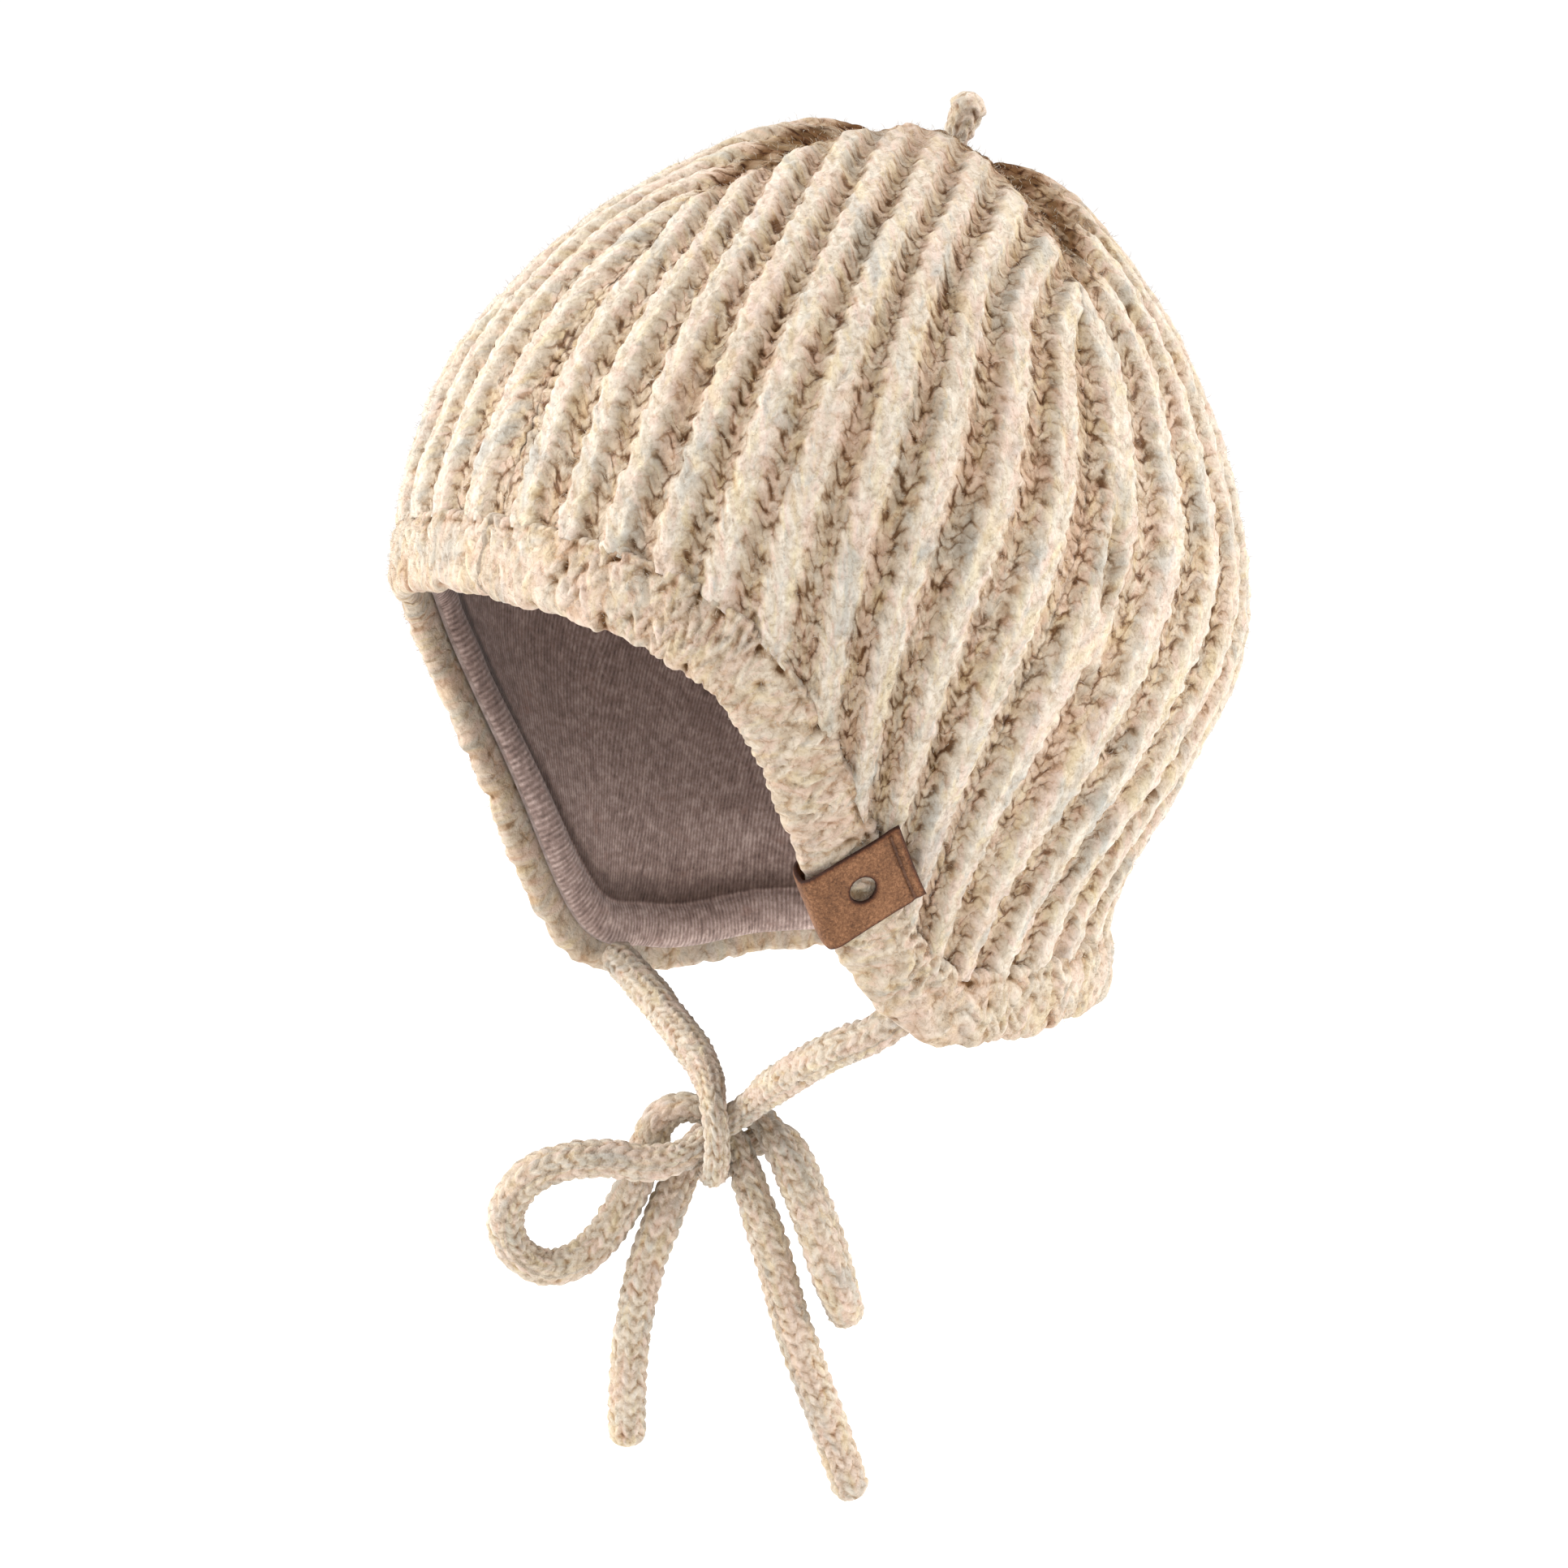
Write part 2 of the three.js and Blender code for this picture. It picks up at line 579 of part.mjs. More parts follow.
function piece(name, geometry, look) {
  geometry.computeVertexNormals();
  const mesh = new THREE.Mesh(geometry, new THREE.MeshStandardMaterial(look));
  mesh.name = name;
  return mesh;
}

const hat = new THREE.Group();
hat.name = 'knit_hat';
hat.add(piece('crown', makeCrown(), wool));
hat.add(piece('edge_band', makeBand(), wool));
hat.add(piece('lining', makeLining(), jersey));
hat.add(piece('top_stub', makeStub(), wool));
hat.add(piece('label', makeLabel(), leatherette));
hat.add(piece('tie_right', makeTie(TIE_RIGHT), wool));
hat.add(piece('tie_left', makeTie(TIE_LEFT), wool));

export default hat;
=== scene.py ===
"""Knit hat with ear flaps, lining, label and a bow: the knit's stitches, yarn and light.

Lengths in the tables are millimetres in the frame of the model: +X is the wearer's left,
-Y the face side, +Z up, and the origin lies under the top of the lining.
"""
import math

import bmesh
import bpy
import numpy as np
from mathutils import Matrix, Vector


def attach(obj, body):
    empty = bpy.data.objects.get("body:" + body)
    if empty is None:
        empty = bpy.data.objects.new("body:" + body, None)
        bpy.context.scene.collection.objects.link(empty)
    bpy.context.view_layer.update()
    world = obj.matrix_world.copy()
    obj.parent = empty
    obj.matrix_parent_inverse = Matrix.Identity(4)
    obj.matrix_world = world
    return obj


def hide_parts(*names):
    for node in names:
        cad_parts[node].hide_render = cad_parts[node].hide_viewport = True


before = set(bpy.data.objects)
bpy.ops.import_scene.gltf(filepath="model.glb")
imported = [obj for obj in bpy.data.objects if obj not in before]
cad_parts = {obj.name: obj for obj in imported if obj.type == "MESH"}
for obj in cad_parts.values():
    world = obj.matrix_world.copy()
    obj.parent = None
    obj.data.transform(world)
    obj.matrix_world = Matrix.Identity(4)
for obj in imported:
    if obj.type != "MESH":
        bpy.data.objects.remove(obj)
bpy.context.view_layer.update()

MM = 0.001

# Camera at the photograph's angle

PHOTO_SIDE = 1932                    # pixels along one side of the square picture
VIEW_TURN = math.radians(50)         # from the face side toward the wearer's left
VIEW_RISE = math.radians(10.5)
VIEW_DISTANCE = 1.0
VIEW_TARGET = Vector((0, -0.020, -0.119))
LENS = 116                           # with a picture 36 mm wide
PICTURE_RIGHT = 30                   # pixels that the picture's middle is moved by
PICTURE_UP = 7


def aim(thing, turn, rise, distance):
    """Puts a camera or light at its place round the hat and turns it to the hat's middle."""
    back = Vector((
        math.sin(turn) * math.cos(rise), -math.cos(turn) * math.cos(rise), math.sin(rise),
    ))
    thing.location = VIEW_TARGET + back * distance
    thing.rotation_mode = "QUATERNION"
    thing.rotation_quaternion = (-back).to_track_quat("-Z", "Y")
    bpy.context.scene.collection.objects.link(thing)


def place_camera():
    data = bpy.data.cameras.new("camera")
    data.lens = LENS
    data.sensor_width = 36
    data.shift_x = -PICTURE_RIGHT / PHOTO_SIDE
    data.shift_y = -PICTURE_UP / PHOTO_SIDE
    data.clip_start = 0.05
    data.clip_end = 20
    camera = bpy.data.objects.new("camera", data)
    aim(camera, VIEW_TURN, VIEW_RISE, VIEW_DISTANCE)
    bpy.context.scene.camera = camera


place_camera()

# Sizes that the solids have too

SEAT = np.array([0.0, 20.0, 84.0])   # head seat in the frame of the tables below
RIBS = 40
GATHER_RADIUS = 76
GATHER_POWER = 0.65
RIB_SWEEP = 1.6
SWEEP_FROM = 0.55
RIB_CROWDING = 0.06
CREASE_DEPTH = 12
CREASE_END = 0.34
CREASE_START = 0.05
CREASE_HALF_WIDTH = 13
LABEL_WIDTH = 16
LABEL_AT = math.radians(64.3)
LABEL_SLANT = 0.18                   # how far the strip drifts along the edge on its way
LABEL_FLARE = 0.0107                 # how the edge's curve would widen it, per millimetre
LABEL_HOLE = 2.6
HOLE_ACROSS = 4.4
STUB_HEIGHT = 11.5

LOOP_NAMES = ("along", "y", "z", "tilt", "half_x", "front", "back", "square")
LOOPS = [
    (0.00, 37, 84, 18, 0, 0, 0, 2.0),
    (0.08, 34, 86, 18, 15, 16, 10, 2.0),
    (0.17, 30, 81, 18, 29, 29, 24, 2.0),
    (0.30, 22, 66, 19, 50, 45, 48, 2.1),
    (0.45, 13, 43, 20, 67, 62, 69, 2.2),
    (0.60, 7, 14, 21, 75, 76, 76, 2.3),
    (0.75, 3, -17, 18, 72, 80, 61, 2.3),
    (0.88, -1, -52, 10, 58, 59, 53, 2.2),
    (1.00, -2, -87, 0, 51, 44, 60, 2.2),
]
EDGE_NAMES = ("angle", "along")
EDGE_LEFT = [
    (0, 0.70), (20, 0.705), (35, 0.72), (48, 0.755), (58, 0.81), (67, 0.875), (78, 0.918),
    (92, 0.922), (120, 0.906), (150, 0.902), (180, 0.90),
]
EDGE_RIGHT = [
    (0, 0.70), (20, 0.703), (35, 0.707), (48, 0.716), (55, 0.74), (60, 0.778), (65, 0.823),
    (71, 0.878), (78, 0.92), (92, 0.937), (120, 0.925), (150, 0.91), (180, 0.90),
]
WHOLE_EDGE = [(-angle, along) for angle, along in EDGE_RIGHT[:0:-1]] + EDGE_LEFT

# Routes of the ties in the knot's own frame, as right, up, near and radius:
# right and near are level, up is +Z

KNOT = np.array([0.0, -22.0, -103.0])
KNOT_TURN = math.radians(50)
TIE_RIGHT = [
    (-24.3, 27.4, -42.8, 3.5), (-21.4, 25.0, -41.1, 3.6), (-16.8, 21.4, -34.8, 3.7),
    (-11.0, 17.4, -22.0, 3.7), (-5.8, 13.6, -10.0, 3.6), (-2.9, 10.0, -1.0, 3.0),
    (-1.9, 6.8, 6.2, 2.6), (-1.0, 0.5, 9.0, 2.6), (-1.3, -6.4, 6.2, 2.6),
    (-2.2, -9.2, 0.0, 2.6), (1.0, -8.2, -6.2, 2.6), (6.4, -4.6, -8.6, 2.8),
    (11.4, -5.0, -9.4, 3.5), (15.9, -12.7, -9.6, 3.7), (19.4, -22.2, -8.8, 3.7),
    (22.8, -32.6, -5.8, 3.7), (24.2, -37.0, 0.0, 3.7), (22.6, -31.6, 6.2, 3.7),
    (19.0, -21.0, 7.6, 3.7), (15.6, -11.6, 6.2, 3.7), (11.6, -3.8, 3.0, 3.2),
    (7.4, 1.2, -3.6, 2.7), (1.6, 0.6, -9.6, 2.6), (-4.6, -4.6, -9.2, 2.9),
    (-8.2, -10.6, -7.0, 3.6), (-12.6, -20.6, -4.0, 3.7), (-15.9, -30.2, -2.0, 3.7),
    (-18.2, -42.0, -0.5, 3.7), (-19.3, -54.0, 0.5, 3.7), (-19.4, -65.0, 1.0, 3.6),
]
TIE_LEFT = [
    (35.8, 32.2, 33.5, 3.5), (30.5, 27.9, 33.0, 3.6), (21.9, 23.0, 27.8, 3.7),
    (15.6, 17.4, 19.8, 3.7), (9.8, 11.2, 10.8, 3.6), (5.2, 6.0, 4.8, 2.9),
    (-1.0, 0.5, 2.8, 2.6), (-7.6, -4.0, 3.8, 3.2), (-14.3, -5.6, 4.4, 3.7),
    (-22.6, -4.7, 4.2, 3.7), (-31.0, -5.6, 3.6, 3.7), (-38.9, -9.5, 2.6, 3.7),
    (-43.0, -16.7, 1.4, 3.7), (-41.3, -24.6, 0.0, 3.7), (-34.9, -28.6, -1.4, 3.7),
    (-27.4, -26.2, -2.8, 3.7), (-21.6, -19.4, -3.8, 3.7), (-17.4, -11.4, -4.4, 3.7),
    (-15.0, -4.6, -4.6, 3.7), (-12.0, 1.6, -4.2, 3.5), (-7.4, 3.8, -3.4, 3.0),
    (-2.2, 2.0, -3.5, 2.6), (2.6, -3.4, -1.6, 2.6), (5.4, -11.2, 2.0, 3.4),
    (8.7, -20.6, 4.2, 3.7), (12.7, -34.9, 5.4, 3.7), (17.5, -49.4, 6.2, 3.7),
    (23.2, -65.0, 6.8, 3.7), (26.0, -74.0, 7.0, 3.6),
]

# Knit

STITCH_ROW = 2.9                     # height of one stitch
RIB_WIDTH = 11.8                     # at the widest part of the crown
WALL_FLOOR = 2.6                     # crown's wall in a groove and what a rib adds
WALL_RISE = 2.1
CREST_HALF = 0.26                    # half of a rib's crest, as a share of a rib's width
CREST_FLAT = 0.085                   # half of its flat middle
CREST_SIDE = 0.24                    # from there down to the groove
LEG_ROWS = 2                         # rows that one stitch of the crest spans
LEG_CLIMB = 1.3                      # stitches that a leg climbs across half a crest
PURL_DIP = 0.8                       # rows that a purl bar dips to the middle of a groove
LEG_RELIEF = 0.5
PURL_RELIEF = 0.5
GAP_DEPTH = 0.4                      # between the bars of a groove
ZIGZAG = 0.035                       # of a rib from row to row, as a share of its width
COLUMNS_PER_RIB = 16
CROWN_ROWS = 380
LOOP_LENGTH = 1.9                    # mean size of the small loops that the shader draws
LOOP_WIDTH = 2.0
LOOP_CLIMB = 0.9                     # rows that they climb across half a crest
LOOP_DIP = 0.6                       # and dip from there to the middle of a groove
BAND_STITCH = 5.2                    # width of one stitch of the band
BAND_STEPS_PER_STITCH = 8
HAIR_THICKNESS = 0.045
HAIR_DEEP = 0.35                     # how deep a hair is rooted
HAIR_SHORTEST = 0.7


# Numbers

def smooth(value):
    value = np.clip(value, 0, 1)
    return value * value * (3 - 2 * value)


def unit(vectors):
    return vectors / np.maximum(np.linalg.norm(vectors, axis=-1, keepdims=True), 1e-9)


def read_table(names, table, value):
    """Smooth curves through a table's rows, read at each value of its first column."""
    rows = np.array(table, float)
    keys = rows[:, 0]
    last = len(keys) - 1
    at = np.clip(value, keys[0], keys[last])
    low = np.clip(np.searchsorted(keys, at, side="right") - 1, 0, last - 1)
    steps = np.diff(keys)
    result = {}
    for column, name in enumerate(names[1:], 1):
        places = rows[:, column]
        slopes = np.diff(places) / steps
        tangent = np.empty(last + 1)
        tangent[0], tangent[last] = slopes[0], slopes[-1]
        tangent[1:last] = (
            (slopes[:-1] * steps[1:] + slopes[1:] * steps[:-1]) / (steps[1:] + steps[:-1])
        )
        step = steps[low]
        t = (at - keys[low]) / step
        t2, t3 = t * t, t * t * t
        result[name] = (
            (2 * t3 - 3 * t2 + 1) * places[low] + (t3 - 2 * t2 + t) * step * tangent[low]
            + (3 * t2 - 2 * t3) * places[low + 1] + (t3 - t2) * step * tangent[low + 1]
        )
    return result


def lattice(x, y, z, seed):
    """Repeatable number from 0 to 1 for each whole place."""
    mixed = x * 73856093 ^ y * 19349663 ^ z * 83492791 ^ seed * 2654435761
    mixed = (mixed ^ (mixed >> 13)) * 1274126177
    return ((mixed ^ (mixed >> 16)) & 0xFFFF) / 65535.0


def noise(points, size, seed):
    """Smooth noise from -1 to 1 whose bumps are about size apart."""
    place = np.asarray(points, float) / size
    cell = np.floor(place).astype(np.int64)
    part = smooth(place - cell)
    total = 0
    for corner in np.ndindex(2, 2, 2):
        weight = np.prod(np.where(corner, part, 1 - part), axis=-1)
        total = total + weight * lattice(*np.moveaxis(cell + corner, -1, 0), seed)
    return total * 2 - 1


def noises(points, layers, start=0.0):
    """Start plus a noise for each layer's amount, size of the bumps and seed."""
    return sum((amount * noise(points, size, seed) for amount, size, seed in layers), start)


# Surface of the hat, as the solids have it

def edge_along(angle):
    turn = (np.degrees(angle) + 180) % 360 - 180
    return read_table(EDGE_NAMES, WHOLE_EDGE, turn)["along"]


def skin_point(angle, along):
    angle, along = np.broadcast_arrays(np.asarray(angle, float), np.asarray(along, float))
    loop = read_table(LOOP_NAMES, LOOPS, along)
    s, c = np.sin(angle), np.cos(angle)
    side = np.sign(s) * np.abs(s) ** (2 / loop["square"])
    face = np.sign(c) * np.abs(c) ** (2 / loop["square"])
    depth = np.where(c > 0, loop["front"], loop["back"]) * face
    fade = np.clip(1 - along / CREASE_END, 0, 1) ** 1.2
    start = np.clip(along / CREASE_START, 0, 1)
    across = np.minimum(np.abs(loop["half_x"] * s), np.abs(depth))
    valley = np.clip(1 - across / CREASE_HALF_WIDTH, 0, 1) ** 1.6
    dip = CREASE_DEPTH * fade * start * valley
    tilt = np.radians(loop["tilt"])
    return np.stack([
        loop["half_x"] * side,
        loop["y"] - depth * np.cos(tilt) - dip * np.sin(tilt),
        loop["z"] + depth * np.sin(tilt) - dip * np.cos(tilt),
    ], -1) - SEAT


def skin_normal(angle, along):
    reach = np.where(along < 0.2, 0.12, 0.03)
    round_way = skin_point(angle + reach, along) - skin_point(angle - reach, along)
    low, high = np.maximum(0.004, along - 0.02), np.minimum(1, along + 0.02)
    down = skin_point(angle, high) - skin_point(angle, low)
    return unit(np.cross(down, round_way))


def column_place(turn, part):
    rough = part * edge_along(turn)
    sweep = RIB_SWEEP * np.maximum(0, rough - SWEEP_FROM) ** 1.2
    backward = np.sin(turn) * np.maximum(0, 0.5 - 0.9 * np.cos(turn))
    crowding = RIB_CROWDING * smooth(rough / 0.4)
    forward = np.sin(turn) + 0.5 * np.sin(2 * turn)
    angle = turn - sweep * backward - crowding * forward
    return angle, part * edge_along(angle)


def edge_frame(angle):
    """At the crown's edge: its point, outward, and the way on over the band."""
    step = 0.01
    at = skin_point(angle, edge_along(angle))
    ahead = skin_point(angle + step, edge_along(angle + step))
    behind = skin_point(angle - step, edge_along(angle - step))
    along = unit(ahead - behind)
    out = skin_normal(angle, edge_along(angle))
    out = unit(out - along * np.sum(out * along, -1, keepdims=True))
    across = -np.cross(along, out)
    below = skin_point(angle, edge_along(angle) + 0.01) - at
    flip = np.sign(np.sum(across * below, -1, keepdims=True))
    return at, out, across * flip


# Meshes

def lengths_along(points, axis):
    """Distance walked from the start of each line of a grid of points."""
    steps = np.linalg.norm(np.diff(points, axis=axis), axis=-1)
    walked = np.cumsum(steps, axis)
    nothing = np.zeros_like(np.take(walked, [0], axis))
    return np.concatenate([nothing, walked], axis)


def grid_quads(rows, columns, first=0, wrap=False, flip=False):
    """Corner numbers of a grid's squares; wrap joins its last column to the first."""
    index = first + np.arange(rows * columns).reshape(rows, columns)
    if wrap:
        index = np.concatenate([index, index[:, :1]], 1)
    quads = np.stack([index[:-1, :-1], index[1:, :-1], index[1:, 1:], index[:-1, 1:]], -1)
    quads = quads.reshape(-1, 4)
    return quads[:, ::-1] if flip else quads


def ring_quads(a, b):
    """Squares between two closed lines of corner numbers."""
    return np.stack([a, b, np.roll(b, -1), np.roll(a, -1)], -1)


def fan(tip, ring, flip=False):
    """Triangles from a tip to a closed line of corner numbers."""
    faces = np.stack([np.full(len(ring), tip), ring, np.roll(ring, -1)], -1)
    return faces[:, [0, 2, 1]] if flip else faces


def zip_lines(fine, coarse, flip=False):
    """Triangles between two lines of points, of which one has a whole number per step."""
    ratio = (len(fine) - 1) // (len(coarse) - 1)
    faces = []
    for step in range(len(coarse) - 1):
        for k in range(ratio):
            corner = coarse[step] if k < ratio / 2 else coarse[step + 1]
            low = step * ratio + k
            faces.append((corner, fine[low + 1], fine[low]))
        faces.append((coarse[step], coarse[step + 1], fine[step * ratio + math.ceil(ratio / 2)]))
    faces = np.array(faces)
    return faces[:, ::-1] if flip else faces


def make_mesh(name, points, quads, triangles, looks=None):
    """Object from arrays; looks holds one number or vector for each point, by name."""
    mesh = bpy.data.meshes.new(name)
    points = np.asarray(points, np.float32) * MM
    corners = [np.asarray(faces, np.int32).reshape(-1, sides)
               for faces, sides in ((quads, 4), (triangles, 3)) if len(faces)]
    mesh.vertices.add(len(points))
    mesh.vertices.foreach_set("co", points.ravel())
    flat = np.concatenate([faces.ravel() for faces in corners])
    counts = np.concatenate([np.full(len(faces), faces.shape[1]) for faces in corners])
    mesh.loops.add(len(flat))
    mesh.loops.foreach_set("vertex_index", flat)
    mesh.polygons.add(len(counts))
    starts = np.concatenate([[0], np.cumsum(counts)[:-1]])
    mesh.polygons.foreach_set("loop_start", starts.astype(np.int32))
    mesh.polygons.foreach_set("loop_total", counts.astype(np.int32))
    for key, values in (looks or {}).items():
        values = np.asarray(values, np.float32)
        kind = "FLOAT" if values.ndim == 1 else "FLOAT_VECTOR"
        attribute = mesh.attributes.new(key, kind, "POINT")
        attribute.data.foreach_set("value" if values.ndim == 1 else "vector", values.ravel())
    mesh.update(calc_edges=True)
    mesh.validate()
    rounded = np.ones(len(mesh.polygons), bool)
    if len(quads):
        rounded[len(quads):] = False
    mesh.polygons.foreach_set("use_smooth", rounded)
    made = bpy.data.objects.new(name, mesh)
    bpy.context.scene.collection.objects.link(made)
    return made


def finish_piece(piece, material, slot_name, *nodes):
    piece.data.materials.append(material)
    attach(piece, "root")
    if nodes:
        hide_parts(*nodes)


# Yarn and cloth materials

class Nodes:
    """Short way to add and link shader nodes."""

    def __init__(self, name):
        self.material = bpy.data.materials.new(name)
        self.material.use_nodes = True
        self.tree = self.material.node_tree
        self.shader = self.tree.nodes["Principled BSDF"]

    def add(self, kind, inputs=(), **settings):
        made = self.tree.nodes.new(kind)
        for key, value in settings.items():
            setattr(made, key, value)
        for key, value in dict(inputs).items():
            self.set(made, key, value)
        return made

    def set(self, to, key, value):
        if isinstance(value, bpy.types.NodeSocket):
            self.tree.links.new(value, to.inputs[key])
        else:
            to.inputs[key].default_value = value

    def math(self, operation, a, b=0.0, c=0.0):
        return self.add("ShaderNodeMath", {0: a, 1: b, 2: c}, operation=operation).outputs[0]

    def mix(self, kind, share, a, b):
        made = self.add("ShaderNodeMix", data_type="RGBA", blend_type=kind)
        self.set(made, 0, share)
        self.set(made, 6, a)
        self.set(made, 7, b)
        return made.outputs[2]

    def ramp(self, value, stops):
        made = self.add("ShaderNodeValToRGB", {0: value})
        band = made.color_ramp
        while len(band.elements) < len(stops):
            band.elements.new(0.5)
        for element, (place, colour) in zip(band.elements, stops):
            element.position = place
            element.color = linear(colour)
        return made.outputs[0]

    def noise(self, vector, scale, detail=2.0, rough=0.5, twist=0.0):
        inputs = {
            "Vector": vector, "Scale": scale, "Detail": detail, "Roughness": rough,
            "Distortion": twist,
        }
        return self.add("ShaderNodeTexNoise", inputs).outputs[0]

    def vector(self, operation, a, b):
        return self.add("ShaderNodeVectorMath", {0: a, 1: b}, operation=operation).outputs[0]

    def attribute(self, name):
        return self.add("ShaderNodeAttribute", attribute_name=name)

    def centred(self, value, gain, base):
        """Base plus gain times what a noise has above its middle."""
        return self.math("MULTIPLY_ADD", self.math("SUBTRACT", value, 0.5), gain, base)

    def surface(self, colour, height, strength, depth, settings):
        """Sets the shader's colour and bump, and the rest of its inputs by name."""
        bump = self.add("ShaderNodeBump", {"Strength": strength, "Distance": depth, "Height": height})
        self.set(self.shader, "Base Color", colour)
        self.set(self.shader, "Normal", bump.outputs[0])
        for key, value in settings.items():
            self.set(self.shader, key, value)
        return self.material


def linear(colour):
    """Shader colour from display values of 0 to 255."""
    parts = [value / 255 for value in colour]
    return (*[p / 12.92 if p <= 0.04045 else ((p + 0.055) / 1.055) ** 2.4 for p in parts], 1)


# Tones of the mixed yarn, and the shade painted into its hollows, creases and top

CREAM = (223, 216, 204)
BEIGE = (203, 193, 178)
ROSY = (222, 201, 190)
STRAW = (220, 208, 178)
GREY = (187, 187, 182)
DEEP_SHADE = [
    # lift of a point between a gap and a crest, and what its colour is multiplied by
    (0.00, (120, 92, 64)),
    (0.10, (178, 157, 135)),
    (0.20, (212, 195, 177)),
    (0.32, (227, 214, 200)),
    (0.60, (242, 236, 229)),
    (0.95, (255, 255, 255)),
]
# painted shade that greys and darkens the felted top
FELTED_SHADE = (231, 228, 227)
SHEEN = (250, 244, 234)
# painted shade in the crevices between the small loops
CREVICE_SHADE = [(0.0, (255, 255, 255)), (0.35, (232, 218, 203)), (0.9, (142, 114, 88))]
STREAKS = [(0.34, (206, 197, 188)), (0.50, (244, 241, 238)), (0.64, (255, 255, 255))]
FLECKS = [
    # tone, size in millimetres, noise it starts and ends at, greatest share, shift
    (ROSY, 2.2, 0.50, 0.64, 0.70, 31),
    (STRAW, 2.6, 0.53, 0.68, 0.75, 77),
    (GREY, 1.9, 0.55, 0.70, 0.70, 111),
    (ROSY, 7.0, 0.48, 0.64, 0.55, 131),
    (STRAW, 6.0, 0.52, 0.68, 0.65, 177),
    (GREY, 7.5, 0.53, 0.69, 0.80, 211),
]


def share_ramp(n, value, low, high):
    """0 below low and 1 above high, smooth between."""
    inputs = {0: value, 1: low, 2: high}
    return n.add("ShaderNodeMapRange", inputs, interpolation_type="SMOOTHSTEP").outputs[0]


def yarn_material(name, shift, crevices):
    """Brushed wool of mixed strands; the points' lift paints shade on what lies deep, and shade is
    painted into the crevices between the small loops.

    The points' knit attribute runs across and along the yarn in millimetres.
    """
    n = Nodes(name)
    place = n.vector("ADD", n.add("ShaderNodeTexCoord").outputs["Object"], (shift, 0.5 * shift, 0))
    knit = n.vector("ADD", n.attribute("knit").outputs["Vector"], (0, 0, 40 * shift))
    lift = n.attribute("lift").outputs["Fac"]

    def fleck(colour, tone, size, low, high, most, move):
        moved = n.vector("ADD", knit, (move, 0.4 * move, 1.7 * move))
        moved = n.vector("MULTIPLY", moved, (0.5 / size, 1.0 / size, 1))
        share = share_ramp(n, n.noise(moved, 1.0, 3, 0.6), low, high)
        return n.mix("MIX", n.math("MULTIPLY", share, most), colour, linear(tone))

    strand = n.noise(n.vector("MULTIPLY", knit, (0.32, 0.42, 1)), 1.0, 3, 0.6)
    colour = n.mix("MIX", share_ramp(n, strand, 0.34, 0.62), linear(BEIGE), linear(CREAM))
    for tone, size, low, high, most, move in FLECKS:
        colour = fleck(colour, tone, size, low, high, most, move)
    fibres = n.noise(place, 430, 3, 0.65, 0.3)
    hairs = n.noise(place, 900, 4, 0.72, 0.5)
    streaks = n.math("MULTIPLY_ADD", fibres, 0.35, n.math("MULTIPLY", hairs, 0.65))
    colour = n.mix("MULTIPLY", 1.0, colour, n.ramp(streaks, STREAKS))
    bend = n.add("ShaderNodeTexNoise", {"Vector": knit, "Scale": 0.5}).outputs["Color"]
    bend = n.vector("MULTIPLY", n.vector("SUBTRACT", bend, (0.5, 0.5, 0.5)), (2.4, 2.4, 0))
    loops = n.vector("MULTIPLY", n.vector("ADD", knit, bend), (1 / LOOP_LENGTH, 1 / LOOP_WIDTH, 1))
    apart = n.add(
        "ShaderNodeTexVoronoi", {"Vector": loops, "Scale": 1.0, "Randomness": 0.85},
        voronoi_dimensions="2D", feature="F1",
    ).outputs["Distance"]
    crevice = share_ramp(n, n.math("MULTIPLY_ADD", streaks, -0.5, apart), 0.12, 0.62)
    deep = n.math("SUBTRACT", 1.0, share_ramp(n, lift, 0.24, 0.70))
    share = n.math("MULTIPLY_ADD", deep, 0.82 * crevices, 0.18 * crevices)
    felted_and_shaded_top = n.attribute("felted_and_shaded_top").outputs["Fac"]
    share = n.math("MULTIPLY", share, n.math("MULTIPLY_ADD", felted_and_shaded_top, -0.7, 1.0))
    crevice = n.math("MULTIPLY", crevice, share)
    # painted shade in the crevices between the small loops, strongest where the lift is low
    colour = n.mix("MULTIPLY", 1.0, colour, n.ramp(crevice, CREVICE_SHADE))
    # painted shade: the lower a point's lift, the darker its colour
    colour = n.mix("MULTIPLY", 1.0, colour, n.ramp(lift, DEEP_SHADE))
    # painted shade on the felted top
    colour = n.mix("MULTIPLY", felted_and_shaded_top, colour, linear(FELTED_SHADE))
    height = n.math("MULTIPLY_ADD", fibres, 0.5, n.math("MULTIPLY", hairs, 0.8))
    height = n.math("MULTIPLY_ADD", crevice, -0.8, height)
    return n.surface(colour, height, 0.8, 0.7 * MM, {
        "Roughness": 1.0,
        "Specular IOR Level": 0.1,
        "Sheen Weight": n.math("MULTIPLY", share_ramp(n, lift, 0.0, 0.4), 0.3),
        "Sheen Roughness": 0.5,
        "Sheen Tint": linear(SHEEN),
    })


JERSEY_TONES = [(0.26, (112, 93, 86)), (0.50, (158, 136, 128)), (0.74, (206, 185, 176))]
JERSEY_SHADE = [(0.0, (140, 130, 124)), (0.5, (226, 222, 220)), (1.0, (255, 255, 255))]
JERSEY_FLECK = (158, 118, 104)


